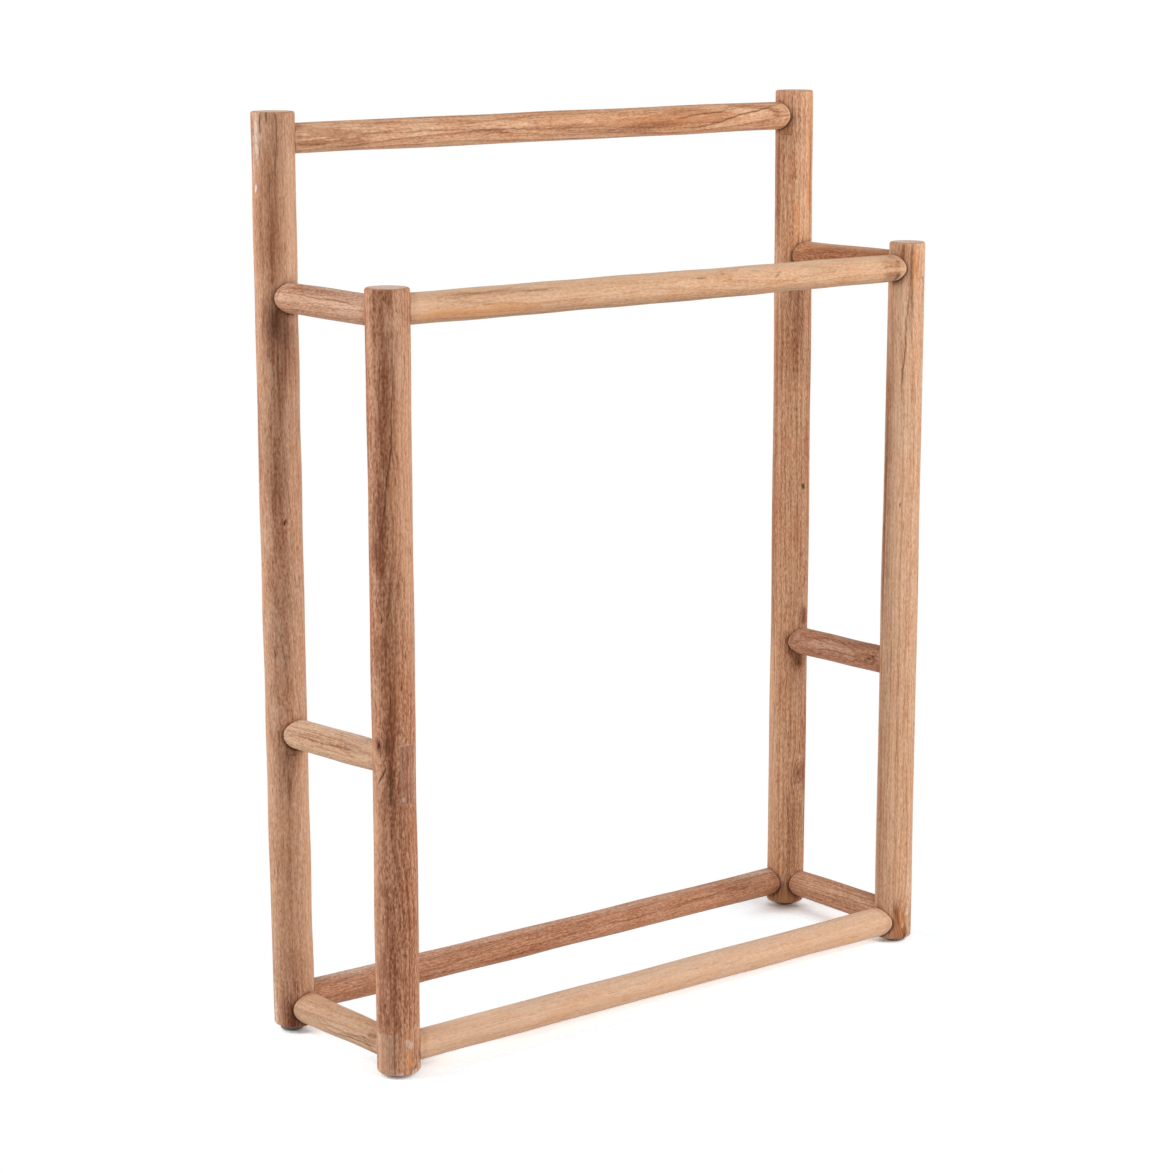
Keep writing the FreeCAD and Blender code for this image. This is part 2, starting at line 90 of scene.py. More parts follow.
POSTS = {
    "rear_left": Post(
        tone="honey", tint=(0.974, 0.994, 1.029), ends=(0.0012, 0.0), bleach=0.40,
        shifts=(0.0026, -0.0011, -0.0026), girths=(0.0396, 0.0402, 0.0408),
        log=Log(face=-72, pith=0.034, lean=-0.012, rings=0.0046, seed=11, coarse=0.50, fine=0.76),
        swells=(Swell(0.330, 0.110, 0.006), Swell(0.610, 0.120, -0.003)),
        knots=(Knot(-22, 0.318, 0.010, 0.004),),
        marks=spots(
            dark=((-106, 0.862, 0.005, 0.05, 0.5), (-68, 0.79, 0.009, 0.12, 0.58),
                (-40, 0.79, 0.0052, 0.13, 0.8), (-62, 0.7, 0.006, 0.04, 0.4),
                # The dark mark at -46 and 0.69 is a stain and painted shadow under the left_top rail's
                # end.
                (-46, 0.69, 0.0075, 0.06, 0.95), (-8, 0.67, 0.007, 0.07, 0.9),
                (-38, 0.65, 0.005, 0.08, 0.7), (-106, 0.59, 0.005, 0.09, 0.6),
                (-46, 0.572, 0.0082, 0.11, 0.48), (-62, 0.51, 0.006, 0.36, 0.15),
                (-34, 0.49, 0.0074, 0.14, 0.34), (-34, 0.39, 0.0074, 0.14, 0.28, 0.02),
                (-36, 0.262, 0.0065, 0.052, 0.75), (-46, 0.15, 0.0085, 0.2, 0.3, 0.02),
                (-30, 0.064, 0.01, 0.04, 0.45)),
            pale=((14, 0.79, 0.008, 0.14, 0.6), (30, 0.17, 0.008, 0.24, 0.5),
                (-60, 0.17, 0.022, 0.23, 0.1)),
            hollow=((-49, 0.886, 0.0009, 0.009, 0.9, 0, 0.0009),
                (-68, 0.879, 0.0008, 0.022, 0.9, 0.03, 0.0008),
                (-95, 0.868, 0.0006, 0.036, 0.7, 0.02, 0.0004), (-76, 0.864, 0.0005, 0.04, 0.7, -0.03),
                (-27, 0.862, 0.0005, 0.062, 0.8, 0.02, 0.0004),
                # The wide hollow at -42 and 0.694 deepens the painted shadow under the left_top rail's
                # end.
                (-72, 0.855, 0.0006, 0.018, 0.6, 0.08, 0.0003), (-42, 0.694, 0.0056, 0.03, 0.58),
                (-74, 0.69, 0.0006, 0.024, 0.6, 0.1), (-8, 0.682, 0.005, 0.026, 0.3),
                (-23, 0.506, 0.001, 0.006, 1.2, 0.2, 0.0007), (-58, 0.406, 0.0006, 0.02, 0.6, -0.52),
                (-64, 0.381, 0.0006, 0.01, 0.8, -0.1), (-36, 0.38, 0.0006, 0.034, 0.55, -0.2),
                (-60, 0.378, 0.0006, 0.008, 0.7, -0.1), (-20, 0.28, 0.005, 0.0022, 0.6),
                (-80, 0.12, 0.0005, 0.2, 0.3, 0.04), (-100, 0.09, 0.0005, 0.17, 0.35, 0.05)),
            amber=((-40, 0.8, 0.018, 0.17, 0.2), (-44, 0.15, 0.008, 0.18, 0.15)),
            chalk=((-84, 0.866, 0.0034, 0.046, 0.34, -0.03), (-98, 0.85, 0.0016, 0.05, 0.3, 0.02),
                (-91, 0.8195, 0.0014, 0.007, 1, 0, 0.0004), (-101, 0.03, 0.0011, 0.04, 0.9),
                (-92, 0.02, 0.0007, 0.024, 0.6)),
        ),
    ),
    "front_left": Post(
        tone="umber", tint=(1.017, 1.011, 0.998), ends=(-0.0011, -0.0009), bleach=0.55,
        shifts=(0.0022, 0.0010, -0.0001), girths=(0.0411, 0.0405, 0.0410),
        log=Log(face=-74, pith=0.030, lean=0.008, rings=0.0042, seed=23, coarse=0.98, fine=1.18),
        swells=(Swell(0.525, 0.060, 0.003), Swell(0.240, 0.050, -0.004)),
        knots=(Knot(-82, 0.321, 0.0085, 0.009), Knot(-12, 0.711, 0.006, 0.003)),
        marks=spots(
            dark=((-62, 0.715, 0.005, 0.06, 0.55), (-52, 0.64, 0.006, 0.12, 0.7),
                (-58, 0.53, 0.0058, 0.18, 0.48, 0.03), (-104, 0.5, 0.006, 0.36, 0.1),
                (-42, 0.4, 0.006, 0.14, 0.24, -0.02), (-82, 0.321, 0.005, 0.014, 0.8),
                (-44, 0.3, 0.0042, 0.13, 0.55, -0.012), (-8, 0.17, 0.0065, 0.22, 0.25, -0.015),
                (-75, 0.062, 0.008, 0.036, 0.35)),
            pale=((-12, 0.711, 0.003, 0.008, 0.7), (-12, 0.7, 0.007, 0.09, 0.4),
                (-36, 0.695, 0.005, 0.05, 0.4), (-8, 0.6, 0.006, 0.2, 0.3),
                (-88, 0.56, 0.007, 0.36, 0.2), (22, 0.56, 0.011, 0.33, 0.65),
                (-34, 0.5, 0.0045, 0.28, 0.2), (-96, 0.225, 0.0085, 0.29, 0.65),
                (28, 0.03, 0.006, 0.05, 0.5), (-28, 0.022, 0.006, 0.044, 0.35)),
            hollow=((-60, 0.655, 0.0006, 0.06, 0.7, 0, 0.0003), (-28, 0.645, 0.0006, 0.09, 0.8, 0.03),
                (-41, 0.575, 0.0007, 0.075, 0.85, 0.107), (-58, 0.53, 0.0006, 0.035, 0.7, 0.2),
                (-73, 0.52, 0.0005, 0.08, 0.6, 0.05), (-79, 0.515, 0.0005, 0.07, 0.5, -0.06),
                (-38, 0.44, 0.0004, 0.15, 0.5, -0.02), (-54, 0.322, 0.0024, 0.014, 0.6, -0.05),
                (-82, 0.321, 0.0018, 0.006, 1, 0.2, 0.0004), (-77, 0.318, 0.0006, 0.014, 0.8, -0.15),
                (-64, 0.297, 0.0005, 0.018, 0.5, 0.3), (-71, 0.293, 0.0007, 0.014, 1, 0.5, 0.0007),
                (-78, 0.29, 0.0005, 0.016, 0.6, 0.35), (-46, 0.283, 0.0024, 0.034, 0.55, -0.02),
                (-30, 0.18, 0.0004, 0.16, 0.5, -0.03), (-44, 0.12, 0.0004, 0.13, 0.45, -0.03),
                (12, 0.01, 0.0012, 0.008, 0.8, 0.6, 0.0006)),
            amber=((-26, 0.57, 0.006, 0.16, 0.3), (-30, 0.4, 0.006, 0.12, 0.2),
                (-14, 0.042, 0.003, 0.018, 0.5), (-8, 0.02, 0.0032, 0.018, 1)),
            chalk=((-12, 0.037, 0.0012, 0.005, 0.35), (-8, 0.0335, 0.0028, 0.01, 0.4),
                (34, 0.008, 0.0014, 0.01, 0.5), (-92, 0.0065, 0.004, 0.006, 0.45),
                (14, 0.006, 0.004, 0.005, 0.45), (-62, 0.0055, 0.003, 0.005, 0.5),
                (-36, 0.005, 0.0045, 0.005, 0.4)),
        ),
    ),
    "rear_right": Post(
        tone="honey", tint=(1.024, 1.031, 1.032), ends=(-0.0004, 0.0012), bleach=0.12,
        shifts=(0.0007, 0.0018, 0.0002), girths=(0.0402, 0.0399, 0.0395),
        log=Log(face=60, pith=0.055, lean=0.004, rings=0.0052, seed=37, coarse=0.80, fine=0.94),
        swells=(Swell(0.560, 0.140, 0.002),),
        knots=(Knot(-6, 0.152, 0.0095, 0.007), Knot(-6, 0.312, 0.012, 0.003)),
        marks=spots(
            dark=((17, 0.815, 0.0012, 0.13, 0.8), (-58, 0.8, 0.008, 0.11, 0.15),
                (-100, 0.79, 0.0065, 0.12, 0.75), (-43, 0.645, 0.02, 0.11, 0.5, 0.01),
                (-62, 0.52, 0.006, 0.2, 0.1), (26, 0.48, 0.008, 0.34, 0.4),
                (-106, 0.48, 0.006, 0.34, 0.5), (12, 0.327, 0.0065, 0.02, 1, 0.1),
                # The dark marks at -44 and -15 are stain and, in part, painted shadow under the
                # right_middle rail's end.
                (-44, 0.297, 0.0045, 0.028, 1, -0.15), (-15, 0.28, 0.006, 0.022, 1, -0.15),
                (20, 0.17, 0.006, 0.24, 0.6), (-8, 0.152, 0.0075, 0.024, 0.9),
                (-24, 0.085, 0.005, 0.085, 0.5)),
            pale=((-13, 0.79, 0.006, 0.1, 0.28), (-100, 0.17, 0.007, 0.24, 0.3),
                (-50, 0.02, 0.01, 0.03, 0.5)),
            hollow=((-1, 0.47, 0.0016, 0.006, 1.5, 0, 0.0012), (10, 0.324, 0.003, 0.01, 0.4, 0.2),
                (-20, 0.282, 0.0012, 0.006, 0.5), (-13, 0.276, 0.002, 0.006, 0.6, 0.4),
                (-6, 0.153, 0.0016, 0.006, 0.7, 0.6, 0.0005), (-26, 0.034, 0.0005, 0.03, 0.6, -0.35),
                (-60, 0.032, 0.0005, 0.034, 0.6, 0.35), (-36, 0.028, 0.0005, 0.036, 0.5, -0.12),
                (-48, 0.026, 0.0005, 0.034, 0.6, 0.18)),
            amber=((12, 0.815, 0.0024, 0.14, 1), (-30, 0.757, 0.0032, 0.036, 0.9),
                (-34, 0.014, 0.016, 0.024, 0.75)),
        ),
    ),
    "front_right": Post(
        tone="honey", tint=(1.041, 1.092, 1.134), ends=(-0.0003, 0.0025), bleach=0.50,
        shifts=(-0.0022, -0.0017, -0.0003), girths=(0.0381, 0.0383, 0.0364),
        log=Log(face=50, pith=0.060, lean=0.004, rings=0.0045, seed=41, coarse=0.58, fine=0.66),
        swells=(Swell(0.680, 0.060, 0.004),),
        knots=(Knot(-14, 0.030, 0.011, 0.006),),
        marks=spots(
            dark=((-54, 0.731, 0.0055, 0.02, 0.7), (-48, 0.706, 0.004, 0.014, 0.4),
                (-29, 0.706, 0.0022, 0.075, 0.8), (-45, 0.64, 0.0011, 0.11, 0.8, 0.054),
                (-104, 0.63, 0.006, 0.1, 0.45), (16, 0.5, 0.005, 0.36, 0.18),
                (-102, 0.47, 0.006, 0.24, 0.9), (-104, 0.2, 0.006, 0.3, 0.45),
                (16, 0.18, 0.005, 0.24, 0.15), (-33, 0.03, 0.0024, 0.022, 0.5, -0.3),
                (-26, 0.022, 0.012, 0.05, 0.6), (-4, 0.012, 0.004, 0.012, 0.8)),
            pale=((-62, 0.688, 0.006, 0.044, 0.6), (-68, 0.5, 0.007, 0.36, 0.4),
                (-42, 0.5, 0.006, 0.36, 0.22), (-60, 0.17, 0.01, 0.22, 0.3)),
            hollow=((22, 0.725, 0.0008, 0.006, 0.9, 0.8, 0.0009),
                (-31, 0.724, 0.0011, 0.034, 0.55, 0.06, 0.0004),
                (20, 0.706, 0.0008, 0.006, 0.8, -0.6, 0.0008), (-27, 0.694, 0.0009, 0.04, 0.45, -0.06),
                (-30, 0.66, 0.0005, 0.06, 0.5, -0.118), (-45, 0.64, 0.0005, 0.11, 0.35, 0.054),
                (-52, 0.55, 0.0004, 0.11, 0.4, 0), (-48, 0.473, 0.0009, 0.005, 0.8, 0, 0.0004),
                (-22, 0.26, 0.0005, 0.32, 0.36, -0.005), (-82, 0.25, 0.0005, 0.38, 0.4),
                (-68, 0.24, 0.0005, 0.4, 0.3, 0.005), (-45, 0.23, 0.0005, 0.36, 0.4),
                (-14, 0.013, 0.0009, 0.01, 0.5, -0.5), (2, 0.008, 0.0016, 0.006, 1, 0.5, 0.001)),
            amber=((-20, 0.715, 0.005, 0.05, 0.7), (-45, 0.26, 0.01, 0.42, 0.15),
                (-22, 0.022, 0.006, 0.036, 0.9)),
            chalk=((-16, 0.042, 0.0012, 0.005, 0.35), (7, 0.034, 0.0022, 0.008, 0.45),
                (-14, 0.02, 0.001, 0.007, 0.22, 0.4)),
        ),
    ),
}

LONG_RAILS = {
    "front_top": Rail(
        tone="sand", tint=(0.948, 0.965, 0.976), ends=("front_right", "front_left"),
        rises=(-0.0004, 0.0003, 0.0014), girths=(0.0273, 0.0295, 0.0291),
        log=Log(face=35, pith=0.050, lean=0.010, rings=0.0052, seed=53, coarse=0.55, fine=0.62),
        swells=(Swell(0.120, 0.080, 0.004), Swell(-0.160, 0.100, 0.003)), knots=(),
        marks=spots(
            dark=((10, 0.303, 0.006, 0.01, 0.7), (-40, 0.298, 0.006, 0.022, 1),
                (20, 0.29, 0.01, 0.016, 0.5), (-50, 0, 0.006, 0.64, 0.35),
                (38, -0.18, 0.001, 0.08, 0.4, 0.02), (46, -0.225, 0.0016, 0.13, 0.45, -0.01)),
            # The pale strip at turn 80 and the chalk strip at turn 84 along the whole top are painted
            # highlight where light from above falls on the rail.
            pale=((80, 0, 0.007, 0.64, 0.9), (10, -0.3, 0.01, 0.03, 0.6)),
            hollow=((-24, 0.306, 0.003, 0.006, 0.6), (34, 0.305, 0.0022, 0.006, 0.5),
                (-52, 0.305, 0.004, 0.006, 0.6), (62, 0.3, 0.0035, 0.01, 0.4),
                (21, 0.136, 0.0009, 0.007, 0.8, 0.5, 0.0004),
                (32, 0.036, 0.0008, 0.014, 0.65, 0.1, 0.0003)),
            amber=((-24, -0.25, 0.0045, 0.16, 0.8),),
            # Chalk strip along the top: painted highlight.
            chalk=((84, 0, 0.006, 0.64, 0.12),),
        ),
        asides=(-0.0004, 0.0),
    ),
    "front_bottom": Rail(
        tone="sand", tint=(0.974, 1.007, 1.053), ends=("front_right", "front_left"),
        rises=(-0.0017, -0.0010, -0.0005), girths=(0.0298, 0.0291, 0.0289),
        log=Log(face=-60, pith=0.120, lean=0.004, rings=0.0090, seed=59, coarse=0.24, fine=0.42),
        swells=(), knots=(),
        marks=spots(
            dark=((20, 0.08, 0.001, 0.03, 0.3),),
            # Chalk strip along the top: painted highlight where light from above falls on the rail.
            chalk=((78, 0, 0.006, 0.64, 0.19),),
        ),
        asides=(-0.0015, 0.0),
    ),
    "rear_top": Rail(
        tone="honey", tint=(1.074, 1.101, 1.119), ends=("rear_right", "rear_left"),
        rises=(0.0003, -0.0002, -0.0007), girths=(0.0291, 0.0295, 0.0283),
        log=Log(face=10, pith=0.032, lean=-0.014, rings=0.0055, seed=61, coarse=1.15, fine=0.72),
        swells=(Swell(0.190, 0.110, 0.006), Swell(-0.150, 0.120, -0.004)), knots=(),
        marks=spots(
            dark=((10, 0.287, 0.008, 0.03, 0.35), (-16, 0.07, 0.006, 0.14, 1),
                (-18, 0, 0.004, 0.6, 0.14), (-6, -0.02, 0.002, 0.2, 0.55, -0.01),
                (-30, -0.275, 0.0045, 0.08, 0.55)),
            pale=((40, -0.296, 0.008, 0.04, 0.6),),
            hollow=((11, 0.241, 0.0008, 0.13, 0.9, 0.185), (25, 0.195, 0.0007, 0.09, 0.8, 0.099),
                (-8, 0.05, 0.0007, 0.13, 0.45, -0.04), (2, -0.085, 0.0006, 0.12, 0.45, -0.03),
                (8, -0.19, 0.0007, 0.11, 0.5)),
            amber=((10, 0.12, 0.006, 0.25, 0.5),),
        ),
        asides=(-0.0024, 0.0),
    ),
    "rear_bottom": Rail(
        tone="russet", tint=(1.022, 1.045, 1.055), ends=("rear_right", "rear_left"),
        rises=(-0.0012, -0.0005, 0.0014), girths=(0.0292, 0.0288, 0.0302),
        log=Log(face=-15, pith=0.060, lean=0.012, rings=0.0050, seed=67, coarse=0.7, fine=0.9),
        swells=(Swell(0.120, 0.120, 0.003),), knots=(),
        marks=spots(
            dark=((46, -0.02, 0.003, 0.42, 0.28), (-26, -0.1, 0.0016, 0.18, 0.35)),
            pale=((40, 0.285, 0.0045, 0.03, 0.45),),
            hollow=((27, 0.215, 0.0006, 0.11, 0.5, 0.055), (6, 0.02, 0.0006, 0.36, 0.5, 0.012)),
            # Chalk strips along the top at turns 80 and 82: painted highlight where light from above falls
            # on the rail.
            chalk=((82, 0.285, 0.006, 0.05, 0.22), (80, 0, 0.006, 0.64, 0.16),
                (82, -0.26, 0.006, 0.1, 0.22)),
        ),
        asides=(-0.0042, 0.0),
    ),
}

SIDE_RAILS = {
    "left_top": Rail(
        tone="honey", tint=(0.983, 1.008, 1.062), ends=("front_left", "rear_left"),
        rises=(-0.0008, -0.0002, 0.0003), girths=(0.0289, 0.0288, 0.0288),
        log=Log(face=70, pith=0.040, lean=0.02, rings=0.0045, seed=71, coarse=0.8, fine=0.9),
        swells=(), knots=(),
        marks=spots(
            dark=((50, 0, 0.0045, 0.12, 0.55), (-15, 0, 0.0045, 0.15, 0.18)),
            pale=((16, 0, 0.005, 0.15, 0.45),),
            hollow=((8, 0.01, 0.0006, 0.05, 0.35), (26, 0, 0.0005, 0.15, 0.75, 0.01, 0.0002)),
            # Chalk strip along the top: painted highlight where light from above falls on the rail.
            chalk=((82, 0, 0.006, 0.16, 0.16),),
        ),
        asides=(0.0, -0.0012),
    ),
    "left_middle": Rail(
        tone="sand", tint=(0.944, 0.973, 1.013), ends=("front_left", "rear_left"),
        rises=(0.0026, 0.0002, -0.0021), girths=(0.0287, 0.0290, 0.0292),
        log=Log(face=-20, pith=0.045, lean=0.03, rings=0.0040, seed=73, coarse=0.75, fine=0.9),
        swells=(Swell(0.0, 0.050, 0.002),), knots=(),
        marks=spots(
            dark=((14, 0.005, 0.001, 0.11, 0.6), (30, 0, 0.0075, 0.16, 0.42), (-8, 0, 0.0008, 0.1, 0.4),
                (-26, -0.01, 0.0008, 0.08, 0.5)),
            pale=((-20, 0, 0.007, 0.15, 0.5),),
            # Chalk strip along the top: painted highlight where light from above falls on the rail.
            chalk=((82, 0, 0.006, 0.16, 0.18),),
        ),
    ),
    "left_bottom": Rail(
        tone="sand", tint=(0.901, 0.917, 0.942), ends=("front_left", "rear_left"),
        rises=(-0.0011, -0.0018, -0.0028), girths=(0.0274, 0.0292, 0.0310),
        log=Log(face=0, pith=0.060, lean=-0.03, rings=0.0060, seed=79, coarse=0.65, fine=0.7),
        swells=(), knots=(),
        marks=spots(
            dark=((2, -0.02, 0.0008, 0.08, 0.8, -0.055), (-6, -0.06, 0.0035, 0.016, 0.55),
                (24, -0.062, 0.006, 0.016, 0.6)),
            pale=((-20, 0, 0.006, 0.15, 0.3),),
            hollow=((-14, -0.028, 0.0006, 0.07, 0.9, -0.045), (-2, -0.035, 0.0005, 0.045, 0.8, -0.06),
                (10, -0.05, 0.001, 0.006, 0.7), (-20, -0.058, 0.0007, 0.014, 0.9, 0.75)),
        ),
        asides=(0.0, -0.0036),
    ),
    "right_top": Rail(
        tone="russet", tint=(1.030, 1.005, 0.925), ends=("front_right", "rear_right"),
        rises=(0.0007, 0.0007, 0.0007), girths=(0.0292, 0.0292, 0.0292),
        log=Log(face=40, pith=0.040, lean=0.02, rings=0.0045, seed=83, coarse=0.9, fine=1.0),
        swells=(), knots=(),
        marks=spots(
            dark=((-40, 0, 0.008, 0.16, 0.8),),
            # The pale strip at turn 80 and the chalk strip at turn 84 along the top are painted highlight
            # where light from above falls on the rail.
            pale=((80, 0, 0.007, 0.16, 1),),
            chalk=((84, 0, 0.006, 0.16, 0.14),),
        ),
    ),
    "right_middle": Rail(
        tone="russet", tint=(1.005, 1.042, 1.086), ends=("front_right", "rear_right"),
        rises=(0.0001, -0.0003, -0.0006), girths=(0.0285, 0.0286, 0.0287),
        log=Log(face=15, pith=0.034, lean=0.01, rings=0.0050, seed=89, coarse=0.9, fine=0.95),
        swells=(Swell(0.0, 0.045, 0.005),), knots=(Knot(5, -0.055, 0.005, 0.004),),
        marks=spots(
            dark=((44, 0, 0.004, 0.11, 0.2), (-12, 0, 0.005, 0.11, 0.35),
                (6, -0.056, 0.006, 0.016, 0.7)),
            pale=((18, 0, 0.004, 0.09, 0.4),),
            hollow=((34, 0.01, 0.0006, 0.07, 0.4, 0.03), (4, -0.005, 0.0007, 0.075, 0.55, -0.03),
                (-8, -0.05, 0.0009, 0.006, 0.8), (5, -0.055, 0.0012, 0.005, 0.9, 0, 0.0004),
                (18, -0.061, 0.001, 0.005, 0.9)),
        ),
    ),
    "right_bottom": Rail(
        tone="russet", tint=(1.105, 1.195, 1.255), ends=("front_right", "rear_right"),
        rises=(-0.0001, -0.0004, -0.0006), girths=(0.0301, 0.0288, 0.0273),
        log=Log(face=100, pith=0.060, lean=0.01, rings=0.0050, seed=97, coarse=0.85, fine=0.95),
        swells=(), knots=(),
        marks=spots(
            dark=((30, 0.06, 0.005, 0.04, 0.4), (-12, 0, 0.006, 0.15, 0.35)),
            pale=((47, 0, 0.006, 0.15, 0.35),),
        ),
        asides=(0.0, -0.0032),
    ),
}

PATCHES = {
    "middle_patch_front_left": Patch(
        "front_left", 3, 0.0165, "russet", (0.90, 0.885, 0.92),
        Log(90, 0.06, 0.0, 0.004, 101),
        marks=spots(
            chalk=((-14.5, 0.2705, 0.001, 0.004, 0.5), (24.5, 0.2705, 0.001, 0.004, 0.6)),
        ),
        putty=(0.20, 0.70, 0.30, 0.48), crack=(0.10, 0.0, 0.40, 0.0)),
    "front_foot_patch_front_left": Patch(
        "front_left", -75, 0.020, "umber", (1.04, 1.13, 1.19),
        Log(60, 0.08, 0.0, 0.005, 103, 0.6, 0.6),
        marks=spots(
            pale=((-96, 0.025, 0.005, 0.06, 0.6),),
        ),
        putty=(0.0, 0.0, 0.0, 0.30), crack=(0.0, 1.0, 0.0, 0.35)),
    "rear_foot_patch_rear_left": Patch(
        "rear_left", -44, 0.018, "honey", (0.892, 0.882, 0.91),
        Log(80, 0.05, 0.0, 0.004, 107),
        marks=spots(
            # The dark and hollow marks low on this patch are stain and painted shadow below the bottom
            # rail's end.
            dark=((-38, 0.018, 0.0065, 0.032, 1),),
            hollow=((-36, 0.014, 0.006, 0.022, 0.3),),
        ),
        putty=(0.0, 0.20, 0.0, 0.15), crack=(0.15, 0.60, 0.0, 0.60)),
    "collar_patch_rear_right": Patch(
        "rear_right", -90, 0.027, "honey", (1.024, 1.031, 1.032),
        Log(60, 0.055, 0.004, 0.0052, 37, 0.80, 0.94),
        marks=spots(
            # This dark mark is stain and painted shadow under the rear_top rail's end.
            dark=((-70, 0.8485, 0.007, 0.012, 0.7),),
            hollow=((-64, 0.849, 0.0006, 0.012, 0.5), (-72, 0.848, 0.0006, 0.01, 0.4)),
            amber=((-70, 0.8485, 0.007, 0.012, 0.5),),
        ),
        putty=(0.0, 0.0, 0.0, 0.0), crack=(0.0, 1.0, 0.25, 0.0)),
}

# Heights of the side rails' screws over the rails' middles, and the screws that a patch covers
# instead of a plug
SIDE_SCREW_RISES = {"top": -0.007, "middle": 0.0, "bottom": 0.0055}
COVERED_SCREWS = {("front_left", "middle"), ("front_left", "front_bottom")}


class RackShape(bpy.types.PropertyGroup):
    """Sizes of the hand-shaped surfaces."""
    wave_height: FloatProperty(
        name="Wave Height", description="Height of the slow waves that hand shaping leaves",
        default=0.00016, unit="LENGTH", precision=5)
    top_ease: FloatProperty(
        name="Top Ease", description="Radius of the softened edge at a post's top",
        default=0.0022, unit="LENGTH", precision=4)
    foot_ease: FloatProperty(
        name="Foot Ease", description="Radius of the softened edge at a post's foot",
        default=0.0025, unit="LENGTH", precision=4)
    shoulder_ease: FloatProperty(
        name="Shoulder Ease", description="Radius of the softened edge where a rail meets a post",
        default=0.0022, unit="LENGTH", precision=4)
    rail_sink: FloatProperty(
        name="Rail Sink", description="How far a rail's surface runs on into the post",
        default=0.004, unit="LENGTH", precision=4)
    inlay_rise: FloatProperty(
        name="Inlay Rise", description="How far patches and plugs stand proud of the post",
        default=0.00012, unit="LENGTH", precision=5)
    putty_width: FloatProperty(
        name="Putty Width", description="Width of the filled line around a patch",
        default=0.0007, unit="LENGTH", precision=5)
    plug_radius: FloatProperty(
        name="Plug Radius", description="Radius of the wood plugs over the screws",
        default=0.004, unit="LENGTH", precision=4)


def colour_property(label, default):
    """Colour that a user picks, as it looks on screen."""
    return FloatVectorProperty(
        name=label, description=f"{label} of this wood, as seen on screen",
        subtype="COLOR_GAMMA", size=3, min=0.0, max=1.0, default=default)


# Colours of each wood tone: early wood, body, late wood and pores
TONE_PARTS = ("pale", "body", "late", "pore")
TONES = {
    "sand": ((0.925, 0.757, 0.620), (0.851, 0.667, 0.518), (0.667, 0.450, 0.300), (0.440, 0.260, 0.155)),
    "honey": ((0.863, 0.686, 0.553), (0.757, 0.563, 0.428), (0.561, 0.340, 0.212), (0.360, 0.190, 0.105)),
    "umber": ((0.784, 0.594, 0.475), (0.667, 0.462, 0.347), (0.490, 0.275, 0.172), (0.310, 0.155, 0.090)),
    "russet": ((0.796, 0.592, 0.471), (0.694, 0.475, 0.349), (0.518, 0.308, 0.200), (0.315, 0.170, 0.102)),
}


class RackTones(bpy.types.PropertyGroup):
    """Colours of the marks and, added below, of the wood tones."""
    # The heartwood streak and open check colours also paint shade around the rails, and the worn fibre and
    # chalky filler colours also paint highlight on the tops.
    heart: colour_property("Heartwood Streak", (0.404, 0.196, 0.104))
    worn: colour_property("Worn Fibre", (0.863, 0.698, 0.568))
    hollow: colour_property("Open Check", (0.230, 0.122, 0.066))
    amber: colour_property("Amber Streak", (0.835, 0.549, 0.310))
    chalk: colour_property("Chalky Filler", (0.900, 0.860, 0.810))


for tone_name, tone_colours in TONES.items():
    for part_name, part_colour in zip(TONE_PARTS, tone_colours):
        RackTones.__annotations__[f"{tone_name}_{part_name}"] = colour_property(
            f"{tone_name} {part_name}".title(), part_colour)


class RackStage(bpy.types.PropertyGroup):
    """Floor, light and camera."""
    floor_colour: FloatVectorProperty(
        name="Floor Colour", description="Colour of the studio floor",
        subtype="COLOR_GAMMA", size=3, min=0.0, max=1.0, default=(0.985, 0.985, 0.985))
    floor_radius: FloatProperty(
        name="Floor Radius", description="Radius of the round floor", default=3.0, unit="LENGTH")
    floor_gain: FloatProperty(
        name="Floor Gain", default=1.65, min=0.0,
        description="How much brighter the eye sees the floor, so that only close shadows show")
    floor_bounce: FloatProperty(
        name="Floor Bounce", description="Share of light that the floor far from the rack sends back",
        default=0.85, min=0.0, max=1.0)
    sky_strength: FloatProperty(
        name="Sky Strength", description="Light of the white surroundings", default=0.16, min=0.0)
    right_power: FloatProperty(
        name="Right Power", description="Power of the softbox at the camera's right",
        default=60.0, unit="POWER")
    left_power: FloatProperty(
        name="Left Power", description="Power of the softbox at the camera's left",
        default=41.0, unit="POWER")
    camera_place: FloatVectorProperty(
        name="Camera Place", description="Where the camera stands",
        subtype="XYZ", size=3, unit="LENGTH", default=(-2.0377, -2.4199, 1.0388))
    camera_yaw: FloatProperty(
        name="Camera Yaw", description="Turn of the camera from +Y towards +X",
        subtype="ANGLE", default=float(np.radians(39.733)))
    camera_pitch: FloatProperty(
        name="Camera Pitch", description="Tilt of the camera, down being negative",
        subtype="ANGLE", default=float(np.radians(-11.206)))
    lens: FloatProperty(
        name="Lens", description="Focal length on a 36 mm sensor, in millimetres", default=98.99)


class RackSettings(bpy.types.PropertyGroup):
    """All settings of the rack."""
    shape: PointerProperty(type=RackShape, name="Shape", description="Sizes of the shaped surfaces")
    tones: PointerProperty(type=RackTones, name="Tones", description="Colours of the wood")
    stage: PointerProperty(type=RackStage, name="Stage", description="Floor, light and camera")


def settings():
    """Settings of the rack in the open scene."""
    return bpy.context.scene.rack


# Mesh helpers

